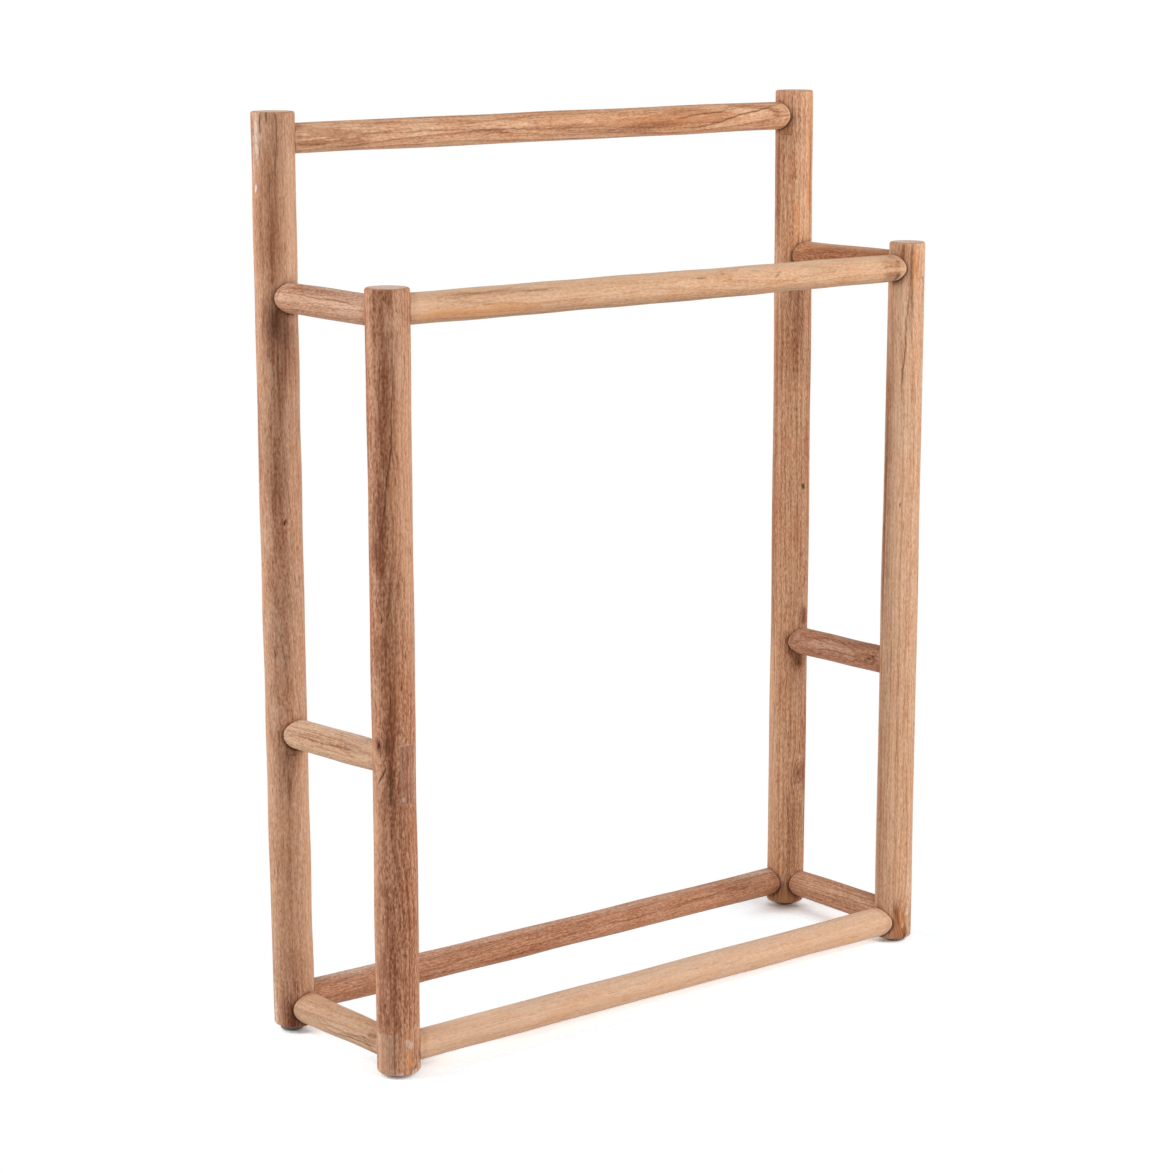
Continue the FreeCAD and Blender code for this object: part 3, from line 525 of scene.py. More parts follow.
def put_mesh(name, points, quads, triangles, vectors):
    """New mesh object at the origin from arrays of points, faces and named point vectors."""
    mesh = bpy.data.meshes.new(name)
    mesh.from_pydata(points.tolist(), [], triangles.tolist() + quads.tolist())
    for key, values in vectors.items():
        attribute = mesh.attributes.new(key, "FLOAT_VECTOR", "POINT")
        attribute.data.foreach_set("vector", np.ascontiguousarray(values, np.float32).ravel())
    mesh.shade_smooth()
    mesh.validate()
    piece = bpy.data.objects.new(name, mesh)
    bpy.context.scene.collection.objects.link(piece)
    return piece


def tube_faces(rows, columns, first=0):
    """Faces of a closed tube whose first and last rows are single points.

    The points count up from the first pole, row by row, to the last pole. Rows run along the
    axis and columns around it to the right, so that the faces look outwards.
    """
    column = np.arange(columns)
    following = (column + 1) % columns
    ring = first + 1 + columns * np.arange(rows)[:, None]
    low, low_next = ring[:-1] + column, ring[:-1] + following
    high, high_next = ring[1:] + column, ring[1:] + following
    quads = np.stack([low, low_next, high_next, high], -1).reshape(-1, 4)
    last = first + 1 + rows * columns
    start_fan = np.stack([np.full(columns, first), ring[0] + following, ring[0] + column], -1)
    end_fan = np.stack([np.full(columns, last), ring[-1] + column, ring[-1] + following], -1)
    return quads, np.concatenate([start_fan, end_fan])


def with_poles(grid):
    """Flat list of a grid's values with its first and last rows drawn together to single points."""
    first, last = grid[0].mean(0)[None], grid[-1].mean(0)[None]
    return np.concatenate([first, grid[1:-1].reshape(-1, grid.shape[-1]), last])


def put_tube(name, points, vectors):
    """Closed tube from a grid of points, whose first and last rows are its two ends."""
    quads, triangles = tube_faces(points.shape[0] - 2, points.shape[1])
    flat = {key: with_poles(values) for key, values in vectors.items()}
    return put_mesh(name, with_poles(points), quads, triangles, flat)


def finish_piece(piece, material, slot, *nodes):
    """Give a piece its material, and let it ride on the rack in place of its nodes."""
    piece.data.materials.append(material)
    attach(piece, "root")
    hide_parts(*nodes)


# Wood: its shape by hand, its place in the log and its marks

# Waves of hand shaping: their number, the range of their lengths and their fall with more lobes
WAVE_LOBES = 6
WAVE_LENGTHS = (0.09, 0.32)
WAVE_FADE = 0.5


def hand_wave(seed, turn, along):
    """Slow waves of hand shaping: cosines of whole lobes around, with seeded lengths along the piece."""
    draw = np.random.default_rng(seed)
    wave = np.zeros(np.broadcast(turn, along).shape)
    for lobes in range(WAVE_LOBES):
        length = draw.uniform(*WAVE_LENGTHS)
        phase = draw.uniform(0, 2 * np.pi)
        way = draw.choice((-1, 1))
        angle = lobes * turn + way * 2 * np.pi * along / length + phase
        wave = wave + np.cos(angle) / (1 + WAVE_FADE * lobes)
    return settings().shape.wave_height * wave


def through_three(values, share):
    """Parabola through the values at the shares 0, 1/2 and 1."""
    start, middle, end = values
    return start + share * (4 * middle - 3 * start - end) + share ** 2 * (2 * start - 4 * middle + 2 * end)


def turn_away(turn, degrees):
    """Turn from a given direction, between minus and plus half a circle."""
    return (turn - np.radians(degrees) + np.pi) % (2 * np.pi) - np.pi


# Heights and lengths of the waves along a mark's edge
MARK_WOBBLES = ((0.0006, 0.061), (0.00025, 0.017))


def mark_mask(mark, turn, along, radius):
    """Soft spot: a bell across the surface, slanted and wavy, and a flat-topped window along it."""
    offset = along - mark.level
    across = radius * turn_away(turn, mark.turn) - mark.slant * offset
    for height, length in MARK_WOBBLES:
        across = across + height * np.sin(2 * np.pi * offset / length + mark.turn)
    window = np.exp(-(2 * offset / mark.length) ** 4)
    return mark.strength * np.exp(-(across / mark.width) ** 2) * window


def mark_masks(marks, turn, along, radius):
    """Sum of the soft spots of each kind and the depth that they sink the surface."""
    masks = np.zeros((len(MARK_KINDS),) + np.broadcast(turn, along).shape)
    depth = np.zeros(masks.shape[1:])
    for mark in marks:
        mask = mark_mask(mark, turn, along, radius)
        masks[mark.kind] += mask
        depth += mark.depth * np.minimum(mask, 1)
    return np.minimum(masks, 1), depth


# Stretch of knots along the grain, and power by which marks fade on flat ends
KNOT_STRETCH = 1.7
END_FADE = 3

# The point vector and its channel that hold each kind of mark; the third channel of the stain is spare
MASK_PLACES = {
    DARK: ("marks", 0), PALE: ("marks", 1), HOLLOW: ("marks", 2), AMBER: ("stain", 0), CHALK: ("stain", 1)}


def raise_mask(vectors, kind, mask):
    """Lift the mask of one kind of mark to at least another mask."""
    key, channel = MASK_PLACES[kind]
    vectors[key][..., channel] = np.maximum(vectors[key][..., channel], mask)


def log_place(piece, turn, across, up, along, radius):
    """Place of each point in its log: distance from the pith, arc around it and length along it.

    The pith lies behind the face by the log's pith distance, which leans along the piece. Swells
    and knots are bells that are added to the distance, so that the rings bow and curl there.
    """
    log = piece.log
    face = np.radians(log.face)
    distance = log.pith + log.lean * along
    away = across + distance * np.cos(face)
    aside = up + distance * np.sin(face)
    rings = np.hypot(away, aside)
    for swell in piece.swells:
        rings = rings + swell.rise * np.exp(-((along - swell.level) / swell.length) ** 2)
    for knot in piece.knots:
        reach = np.hypot(radius * turn_away(turn, knot.turn), (along - knot.level) / KNOT_STRETCH)
        rings = rings + knot.rise * np.exp(-(reach / knot.size) ** 2)
    arc = log.pith * np.arctan2(aside * np.cos(face) - away * np.sin(face),
                                away * np.cos(face) + aside * np.sin(face))
    return np.stack(np.broadcast_arrays(rings, arc, along), -1)


def wood_vectors(piece, turn, along, radius, across, up, share=1.0):
    """Point vectors that the wood's materials read: its place in the log and its marks.

    The marks fade on flat ends, where the share of the radius falls to 0.
    """
    masks, _ = mark_masks(piece.marks, turn, along, radius)
    masks = masks * share ** END_FADE
    grain = log_place(piece, turn, across, up, along, radius)
    marks = np.stack([masks[DARK], masks[PALE], masks[HOLLOW]], -1)
    stain = np.stack([masks[AMBER], masks[CHALK], np.zeros_like(masks[CHALK])], -1)
    return {"grain": grain, "marks": marks, "stain": stain}


# Posts

# Grid of a post, and the crowding of its rows at marks shorter than a length
POST_COLUMNS = 224
POST_ROW_STEP, ROW_SAMPLES = 0.0022, 8
EASE_ROWS, DISC_ROWS = 6, 8
SHORT_MARK = 0.02
ROW_CROWD, CROWD_WIDTH = 2.0, 0.006

# Power by which the pale top, partly bleached and partly painted highlight, ends sharply at its rim
RIM_POWER = 8

# Strength and width of the dark line, partly a dark joint and partly painted shade in the gap, and of the
# soft painted shadow on a post around a rail, and their fall with the height over the rail's middle,
# strongest below it
JOINT_SHADE_BANDS = {HOLLOW: (0.85, 0.0009), DARK: (0.75, 0.0045)}
JOINT_LEVEL, JOINT_FALL = 0.75, 0.45
JOINT_LIMITS = (0.4, 1.25)

# Level direction to the near side of the long rails and of the side rails
NEAR_SIDES = {"long": np.array([0.0, -1.0]), "side": np.array([-1.0, 0.0])}


def quarter(count):
    """Angles of a quarter circle from 0 to a right angle."""
    return np.linspace(0, np.pi / 2, count)


def post_box(corner):
    """Middle of a drawn post, and the heights of its foot and top."""
    low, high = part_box(f"post_{corner}")
    return (low + high) / 2, low.z, high.z


def view_right():
    """Level direction to the camera's right, along which the posts' lean was read."""
    yaw = settings().stage.camera_yaw
    return np.array([np.cos(yaw), -np.sin(yaw)])


def post_axis(corner, height):
    """Middle of a post at a height: its drawn place and a parabola through its three shifts."""
    middle, foot, top = post_box(corner)
    shift = through_three(POSTS[corner].shifts, (height - foot) / (top - foot))
    return np.array([middle.x, middle.y]) + np.asarray(shift)[..., None] * view_right()


def post_radius(corner, turn, height):
    """Radius of a post: half a parabola through its three girths, with hand waves and sunk marks."""
    post = POSTS[corner]
    _, foot, top = post_box(corner)
    radius = through_three(post.girths, (height - foot) / (top - foot)) / 2
    _, depth = mark_masks(post.marks, turn, height, radius)
    return radius + hand_wave(post.log.seed, turn, height) - depth


def end_rows(ease, level, way):
    """Rows of a rounded end from the rim inwards: inset, share of the radius and height."""
    bend = quarter(EASE_ROWS)
    inset = np.concatenate([ease * (1 - np.cos(bend)), np.full(DISC_ROWS, ease)])
    share = np.concatenate([np.ones(EASE_ROWS), np.linspace(1, 0, DISC_ROWS + 1)[1:]])
    height = np.concatenate([level - way * ease * (1 - np.sin(bend)), np.full(DISC_ROWS, level)])
    return np.stack([inset, share, height], -1)


def crowded_rows(low, high, marks):
    """Heights between two levels, evenly spaced but for crowding at short marks.

    The heights are read off the running sum of a density: 1, and a bell at each short mark.
    """
    count = int((high - low) / POST_ROW_STEP)
    even = np.linspace(low, high, ROW_SAMPLES * count)
    density = np.ones_like(even)
    for mark in marks:
        if mark.length < SHORT_MARK:
            density += ROW_CROWD * np.exp(-((even - mark.level) / CROWD_WIDTH) ** 2)
    passed = np.cumsum(density)
    return np.interp(np.linspace(passed[0], passed[-1], count), passed, even)[1:-1]


def post_points(corner):
    """Surface of a post over the turn and a profile of foot, round edge, shaft, round edge and top.

    Returns the points and the places that the wood's vectors are worked out from.
    """
    shape = settings().shape
    _, foot, top = post_box(corner)
    foot, top = foot + POSTS[corner].ends[0], top + POSTS[corner].ends[1]
    shaft_low, shaft_high = foot + shape.foot_ease, top - shape.top_ease
    heights = crowded_rows(shaft_low, shaft_high, POSTS[corner].marks)
    shaft = np.stack([np.zeros_like(heights), np.ones_like(heights), heights], -1)
    foot_rows, top_rows = end_rows(shape.foot_ease, foot, -1)[::-1], end_rows(shape.top_ease, top, 1)
    profile = np.concatenate([foot_rows, shaft, top_rows])
    inset, share, height = (profile[:, index, None] for index in range(3))
    turn = np.linspace(0, 2 * np.pi, POST_COLUMNS, endpoint=False)[None, :]
    radius = post_radius(corner, turn, height) - inset
    ring = share * radius
    axis = post_axis(corner, height[:, 0])
    across, up = ring * np.cos(turn), ring * np.sin(turn)
    points = np.stack([axis[:, None, 0] + up, axis[:, None, 1] - across, height + 0 * ring], -1)
    return points, (turn, height, radius, across, up, share)


def rail_meetings(corner):
    """Turn, height and radius of each rail that meets a post."""
    for rails, near in ((LONG_RAILS, NEAR_SIDES["long"]), (SIDE_RAILS, NEAR_SIDES["side"])):
        for name, rail in rails.items():
            if corner not in rail.ends:
                continue
            index = rail.ends.index(corner)
            level = rail_level(name) + rail.rises[2 * index]
            here = post_axis(corner, np.float64(level))
            there = post_axis(rail.ends[1 - index], np.float64(level))
            reach = POSTS[corner].girths[1] / 2
            way = reach * (there - here) / np.linalg.norm(there - here) + rail.asides[index] * near
            yield np.arctan2(way[0], -way[1]), level, rail.girths[2 * index] / 2


def paint_joint_shade(corner, vectors, turn, height, radius):
    """Dark line, partly joint and partly painted shade, and soft painted shadow on a post around its
    rails, stronger below them: bells over the gap to each rail.
    """
    for middle, level, reach in rail_meetings(corner):
        ahead = np.cos(turn - middle) > 0
        gap = np.hypot(radius * np.sin(turn - middle), height - level) - reach
        below = np.clip(JOINT_LEVEL - JOINT_FALL * (height - level) / reach, *JOINT_LIMITS)
        for kind, (strength, width) in JOINT_SHADE_BANDS.items():
            bell = np.exp(-(np.maximum(gap, 0) / width) ** 2)
            raise_mask(vectors, kind, strength * below * ahead * bell)


def pale_top_with_highlight(corner, vectors, height, share):
    """Pale, chalky top of a post, partly bleached and partly painted highlight where light falls on it:
    full on the flat disc, none at its rim.
    """
    _, foot, top = post_box(corner)
    disc = (height > (foot + top) / 2) * (1 - share ** RIM_POWER)
    raise_mask(vectors, PALE, disc)
    raise_mask(vectors, CHALK, POSTS[corner].bleach * disc)


# Rails

# Grid of a rail, and the width of the seam at its ends
RAIL_COLUMNS = 160
RAIL_ROW_STEP = 0.0016
SUNK_ROWS = 3
END_ROWS = SUNK_ROWS + EASE_ROWS
SEAM_WIDTH = 0.0009

# Strength, middle and width of the painted-shade seam, the worn rim with painted highlight and the stained
# band at a rail's end
END_BANDS = {
    HOLLOW: (0.85, 0.0, SEAM_WIDTH),
    PALE: (1.0, 2.4 * SEAM_WIDTH, 1.3 * SEAM_WIDTH),
    DARK: (0.35, 7 * SEAM_WIDTH, 4 * SEAM_WIDTH),
}
END_UNEVEN = 0.25


def rail_level(name):
    """Height of a drawn rail's middle."""
    low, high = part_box(f"rail_{name}")
    return (low.z + high.z) / 2


def rail_profile(rows):
    """Rows of a rail from end to end, as columns of six values.

    They are the inset, the share of the radius, the reach from either cope, the blend between the
    copes and the distance from the nearer one. At each end come a pole and a row sunk in the post,
    the cope line and a quarter round.
    """
    shape = settings().shape
    bend = quarter(EASE_ROWS)[::-1]
    ease, sink = shape.shoulder_ease, shape.rail_sink
    inset = np.concatenate([np.full(SUNK_ROWS, ease), ease * (1 - np.cos(bend))])
    reach = np.concatenate([[-sink, -sink, 0.0], ease * (1 - np.sin(bend))])
    share = np.concatenate([[0.0], np.ones(END_ROWS - 1)])
    away = np.concatenate([np.zeros(SUNK_ROWS), ease * (np.pi / 2 - bend)])
    middle = np.ones(rows)
    none = np.zeros(END_ROWS)
    flat = RAIL_ROW_STEP * (1 + np.minimum(np.arange(rows), np.arange(rows)[::-1]))
    return (
        np.concatenate([inset, 0 * middle, inset[::-1]])[:, None],
        np.concatenate([share, middle, share[::-1]])[:, None],
        np.concatenate([reach, ease * middle, none])[:, None],
        np.concatenate([none, ease * middle, reach[::-1]])[:, None],
        np.concatenate([none, np.linspace(0, 1, rows + 2)[1:-1], none + 1])[:, None],
        np.concatenate([away, ease * np.pi / 2 + flat, away[::-1]])[:, None],
    )


def rail_points(name, rail, near):
    """Surface of a rail over the turn and a path between two posts' axes, coped to both posts.

    The path is straight in plan and a parabola through three rises in height. At each end a row
    stops where its line along the rail meets the round of the post, the edge is rounded there,
    and the surface runs on into the post, where it is closed.
    """
    level = rail_level(name)
    start, end = (
        post_axis(corner, np.float64(level)) + aside * near
        for corner, aside in zip(rail.ends, rail.asides))
    span = np.linalg.norm(end - start)
    run = (end - start) / span
    turn = np.linspace(0, 2 * np.pi, RAIL_COLUMNS, endpoint=False)[None, :]
    inset, share, from_start, from_end, blend, away = rail_profile(int(span / RAIL_ROW_STEP))
    radius = through_three(rail.girths, blend) / 2 + hand_wave(rail.log.seed, turn, blend * span)
    first_cope, last_cope = (
        np.sqrt(post_radius(corner, np.float64(side), np.float64(level)) ** 2
                - (radius * np.cos(turn) + aside) ** 2)
        for corner, side, aside in zip(rail.ends, cope_turns(run), rail.asides))
    path = (1 - blend) * (first_cope + from_start) + blend * (span - last_cope - from_end)
    middle = start + path[..., None] * run
    along = middle @ np.abs(np.round(run))
    _, depth = mark_masks(rail.marks, turn, along, radius)
    ring = share * (radius - inset - depth)
    across, up = ring * np.cos(turn), ring * np.sin(turn)
    height = level + through_three(rail.rises, path / span) + up
    plan = middle + across[..., None] * near
    vectors = wood_vectors(rail, turn, along, radius + 0 * ring, across, up)
    end_wear_shade_and_highlight(vectors, turn, away, rail.log.seed)
    return np.concatenate([plan, height[..., None]], -1), vectors


def cope_turns(run):
    """Turns of the post faces that a rail's two ends meet."""
    return np.arctan2(run[0], -run[1]), np.arctan2(-run[0], run[1])


def end_wear_shade_and_highlight(vectors, turn, away, seed):
    """Bands of wear, painted shade and painted highlight where a rail meets a post: bells over the
    distance, uneven around the rail.

    The stain is strong where the seam and the rim are weak.
    """
    uneven = 1 - END_UNEVEN + END_UNEVEN * np.cos(2 * turn + seed) * np.cos(3 * turn - seed)
    shares = {HOLLOW: uneven, PALE: uneven, DARK: 2 * (1 - END_UNEVEN) - uneven}
    for kind, (strength, middle, width) in END_BANDS.items():
        raise_mask(vectors, kind, strength * shares[kind] * np.exp(-((away - middle) / width) ** 2))


def build_rails(rails, near, slot):
    """Build a group of rails that share the same near side."""
    for name, rail in rails.items():
        points, vectors = rail_points(name, rail, near)
        piece = put_tube(f"teak_rail_{name}", points, vectors)
        finish_piece(piece, teak_material(f"teak_{name}", rail), slot, f"rail_{name}")


# Patches and plugs

# Grid and depth of a patch, the sinking of its rim, and the share and waves by which its putty breaks
INLAY_STEP, ROW_STRETCH = 0.0004, 1.5
INLAY_DEPTH = 0.003
LOWER_RIM = 2
RIM_SINK = 0.6
PUTTY_BREAK, PUTTY_WAVES = 0.35, (700.0, 260.0)

# Grid of a plug, the rise of its rim, its dark seam, the shift of its grain and its lighter tint
PLUG_RINGS, PLUG_COLUMNS = 10, 40
PLUG_RIM_RISE = 0.3
PLUG_SEAM, PLUG_SEAM_WIDTH = 0.30, 0.09
PLUG_SHIFT = 0.012
PLUG_LIGHT = 1.02


def inlay_points(corner, turn, height, lift):
    """Points over a post's round face, lifted off it, and their distances from its axis."""
    radius = post_radius(corner, turn, height) + lift
    axis = post_axis(corner, height)
    across, back = axis[..., 0] + radius * np.sin(turn), axis[..., 1] - radius * np.cos(turn)
    return np.stack([across, back, height], -1), radius


def build_patch(node, patch):
    """Curved slab over a post's face: a lifted sheet, its rim sunk and filled, closed by a sheet behind.

    At the foot of a post the sheet follows the round edge, and its lower rim has no putty.
    """
    shape = settings().shape
    post_low, post_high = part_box(f"post_{patch.post}")
    low, high = (corner.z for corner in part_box(node))
    low = max(low, post_low.z)
    radius = (post_high.x - post_low.x) / 2
    half = np.arcsin(patch.width / 2 / radius)
    columns = int(2 * half * radius / INLAY_STEP)
    rows = int((high - low) / INLAY_STEP / ROW_STRETCH)
    centre = np.radians(patch.turn)
    turn, height = np.meshgrid(
        np.linspace(centre - half, centre + half, columns), np.linspace(low, high, rows))
    gaps = (turn - centre + half) * radius, (centre + half - turn) * radius, height - low, high - height
    rims = [np.exp(-(gap / shape.putty_width) ** 2) for gap in gaps]
    round_foot = np.zeros_like(height)
    if low <= post_low.z:
        low += POSTS[patch.post].ends[0]
        height = np.maximum(height, low)
        below_ease = np.maximum(low + shape.foot_ease - height, 0)
        round_foot = shape.foot_ease - np.sqrt(np.maximum(shape.foot_ease ** 2 - below_ease ** 2, 0))
        rims[LOWER_RIM] = np.zeros_like(height)
    putty, crack = (
        sum(share * rim for share, rim in zip(shares, rims)) for shares in (patch.putty, patch.crack))
    lift = shape.inlay_rise * (1 - RIM_SINK * np.maximum.reduce(rims)) - round_foot
    front, reach = inlay_points(patch.post, turn, height, lift)
    back, _ = inlay_points(patch.post, turn, height, -INLAY_DEPTH - round_foot)
    vectors = wood_vectors(patch, turn, height, reach, reach * np.cos(turn), reach * np.sin(turn))
    paint_joint_shade(patch.post, vectors, turn, height, reach)
    across_wave = np.sin(turn * radius * PUTTY_WAVES[0])
    up_wave = np.sin(height * PUTTY_WAVES[1])
    raise_mask(vectors, CHALK, putty * (1 - PUTTY_BREAK + PUTTY_BREAK * across_wave * up_wave))
    raise_mask(vectors, HOLLOW, crack)
    points = np.concatenate([front.reshape(-1, 3), back.reshape(-1, 3)])
    doubled = {key: np.concatenate([values.reshape(-1, 3)] * 2) for key, values in vectors.items()}
    no_triangles = np.zeros((0, 3), int)
    piece = put_mesh(f"teak_{node}", points, sheet_faces(rows, columns), no_triangles, doubled)
    finish_piece(piece, teak_material(f"teak_{node}", patch), "teak_patches", node)


def sheet_faces(rows, columns):
    """Faces of a closed slab: a front sheet, the same behind it turned round, and the rim between."""
    index = np.arange(rows * columns).reshape(rows, columns)
    front = np.stack([index[:-1, :-1], index[:-1, 1:], index[1:, 1:], index[1:, :-1]], -1).reshape(-1, 4)
    count = rows * columns
    border = np.concatenate([index[0, :-1], index[:-1, -1], index[-1, :0:-1], index[:0:-1, 0]])
    following = np.roll(border, -1)
    rim = np.stack([border, border + count, following + count, following], -1)
    return np.concatenate([front, front[:, ::-1] + count, rim])


def plug_places(corner):
    """Turn and height of each plug on a post: long rails on the outer side, side rails front or back."""
    end, side = corner.split("_")
    outer_turn = -90 if side == "left" else 90
    end_turn = 0 if end == "front" else 180
    for level in ("top", "bottom"):
        if (corner, f"{end}_{level}") not in COVERED_SCREWS:
            yield outer_turn, rail_level(f"{end}_{level}")
    for level, rise in SIDE_SCREW_RISES.items():
        if (corner, level) not in COVERED_SCREWS:
            yield end_turn, rail_level(f"{side}_{level}") + rise


def build_plugs(corner):
    """Round plugs on a post's face: rings of points about each plug's middle, a sunk rim and a back.

    A plug takes on the grain of its post, moved a little along, and a thin dark seam.
    """
    shape = settings().shape
    post = POSTS[corner]
    rings = np.concatenate([np.linspace(0, 1, PLUG_RINGS), [1.0, 0.0]])[:, None]
    lifts = np.concatenate([np.ones(PLUG_RINGS - 1), [PLUG_RIM_RISE]]) * shape.inlay_rise
    lifts = np.concatenate([lifts, [-INLAY_DEPTH, -INLAY_DEPTH]])[:, None]
    around = np.linspace(0, 2 * np.pi, PLUG_COLUMNS, endpoint=False)[None, :]
    places, vectors, quads, triangles = [], {"grain": [], "marks": [], "stain": []}, [], []
    for degrees, level in plug_places(corner):
        reach = shape.plug_radius * rings
        turn = np.radians(degrees) - reach * np.cos(around) / (post.girths[0] / 2)
        height = level + reach * np.sin(around)
        points, out = inlay_points(corner, turn, height, lifts + 0 * height)
        wood = wood_vectors(post, turn, height, out, out * np.cos(turn), out * np.sin(turn))
        wood["grain"][..., 2] += PLUG_SHIFT
        raise_mask(wood, HOLLOW, PLUG_SEAM * np.exp(-((1 - rings) / PLUG_SEAM_WIDTH) ** 2))
        plug_quads, plug_triangles = tube_faces(len(rings) - 2, PLUG_COLUMNS, sum(map(len, places)))
        quads.append(plug_quads)
        triangles.append(plug_triangles)
        places.append(with_poles(points[::-1]))
        for key, values in wood.items():
            vectors[key].append(with_poles(values[::-1]))
    joined = {key: np.concatenate(values) for key, values in vectors.items()}
    piece = put_mesh(f"teak_plugs_{corner}", np.concatenate(places), np.concatenate(quads),
                     np.concatenate(triangles), joined)
    lighter = post._replace(tint=np.multiply(post.tint, PLUG_LIGHT))
    finish_piece(piece, teak_material(f"teak_plugs_{corner}", lighter), "teak_plugs", f"plugs_{corner}")


# Node helpers

def linear(colour, tint=1.0):
    """Colour on screen, tinted first, as the linear colour that a shader takes, by the sRGB curve."""
    value = np.multiply(colour, tint)
    low, high = value / 12.92, ((value + 0.055) / 1.055) ** 2.4
    return (*np.where(value <= 0.04045, low, high), 1.0)


class Graph:
    """Short calls that add nodes to a tree and link them."""

    def __init__(self, tree):
        self.tree = tree

    def add(self, kind, **values):
        """New node of a kind with its settings."""
        node = self.tree.nodes.new(kind)
        for key, value in values.items():
            setattr(node, key, value)
        return node

    def join(self, source, socket):
        """Feed a socket from another socket, or set it to a plain value."""
        if isinstance(source, bpy.types.NodeSocket):
            self.tree.links.new(source, socket)
        else:
            socket.default_value = source

    def math(self, operation, *values, clamp=False):
        """Result of an operation on numbers."""
        node = self.add("ShaderNodeMath", operation=operation, use_clamp=clamp)
        for index, value in enumerate(values):
            self.join(value, node.inputs[index])
        return node.outputs[0]

    def vector_math(self, operation, *vectors):
        """Result of an operation on vectors: a number for a length and a vector otherwise."""
        node = self.add("ShaderNodeVectorMath", operation=operation)
        for index, vector in enumerate(vectors):
            self.join(vector, node.inputs[index])
        return node.outputs["Value" if operation == "LENGTH" else "Vector"]

    def noise(self, vector, scales, detail, roughness=0.5):
        """Noise whose scales are given per metre along each axis of a vector."""
        node = self.add("ShaderNodeTexNoise")
        self.join(self.vector_math("MULTIPLY", vector, scales), node.inputs["Vector"])
        self.join(1.0, node.inputs["Scale"])
        self.join(detail, node.inputs["Detail"])
        self.join(roughness, node.inputs["Roughness"])
        return node.outputs["Fac"]

    def layers(self, start, *layers):
        """Sum of a start value and of layers, each multiplied by its share."""
        total = start
        for layer, share in layers:
            total = self.math("MULTIPLY_ADD", layer, share, total)
        return total

    def ramp(self, value, low, high, start=0.0, stop=1.0):
        """Smooth rise from start to stop as a value goes from low to high."""
        node = self.add("ShaderNodeMapRange", interpolation_type="SMOOTHSTEP")
        keys = ("Value", "From Min", "From Max", "To Min", "To Max")
        for key, item in zip(keys, (value, low, high, start, stop)):
            self.join(item, node.inputs[key])
        return node.outputs["Result"]

    def mix(self, share, first, second, blend="MIX"):
        """Colour between two colours, whose sockets come after those for numbers and vectors."""
        node = self.add("ShaderNodeMix", data_type="RGBA", blend_type=blend)
        for index, value in ((0, share), (6, first), (7, second)):
            self.join(value, node.inputs[index])
        return node.outputs[2]

    def split(self, vector):
        """The three numbers of a vector."""
        node = self.add("ShaderNodeSeparateXYZ")
        self.join(vector, node.inputs[0])
        return node.outputs[0], node.outputs[1], node.outputs[2]

    def vector(self, first, second=0.0, third=0.0):
        """Vector from three numbers."""
        node = self.add("ShaderNodeCombineXYZ")
        for index, value in enumerate((first, second, third)):
            self.join(value, node.inputs[index])
        return node.outputs[0]


def new_group(name, inputs, outputs):
    """Empty shader node group with named sockets, its graph and its two ends."""
    tree = bpy.data.node_groups.new(name, "ShaderNodeTree")
    for key, kind in inputs.items():
        tree.interface.new_socket(name=key, in_out="INPUT", socket_type=kind)
    for key, kind in outputs.items():
        tree.interface.new_socket(name=key, in_out="OUTPUT", socket_type=kind)
    graph = Graph(tree)
    return graph, graph.add("NodeGroupInput").outputs, graph.add("NodeGroupOutput").inputs


VALUE, VECTOR, COLOUR = "NodeSocketFloat", "NodeSocketVector", "NodeSocketColor"

# Noises of the figure: scales per metre across, around and along the log, then detail and roughness
STREAK_NOISE = ((240.0, 240.0, 3.0), 3.0, 0.60)
FLECK_NOISE = ((620.0, 620.0, 24.0), 2.0, 0.60)
FIBRE_NOISE = ((950.0, 950.0, 240.0), 1.0, 0.50)
BLOTCH_NOISE = ((60.0, 60.0, 20.0), 3.0, 0.60)
WANDER_NOISE = ((60.0, 60.0, 6.0), 3.0, 0.55)
PORE_NOISE = ((900.0, 900.0, 60.0), 1.0, 0.4)

# Rings: how far they wander, how unevenly they follow each other and how far flecks fray them
RING_WANDER, RING_FRAY = 0.008, 0.45
RING_UNEVEN, RING_NOISE = 1.6, ((0.6, 900.0, 1.0), 1.0)
LINE_SPREAD, LINE_LEAST = 0.8, 0.2

# Ramps over one ring, from early wood at 0 to late wood at 1, and over the pores' noise
LATE_RISE, LINE_RISE, LATE_FALL = (0.10, 0.95), (0.72, 0.95), (0.96, 1.0, 1.0, 0.0)
EARLY_FALL = (0.05, 0.55, 1.0, 0.4)
PORE_EDGE = (0.60, 0.74)

# Start values and shares of the fine and the coarse figure and of the relief
FINE_START, FLECK_SHARE, FIBRE_SHARE = -1.10, 0.80, 1.40
COARSE_START, LATE_SHARE, STREAK_SHARE, BLOTCH_SHARE = -0.42, 0.22, 0.36, 0.34
FIBRE_RELIEF, PORE_RELIEF = 0.5, -0.8

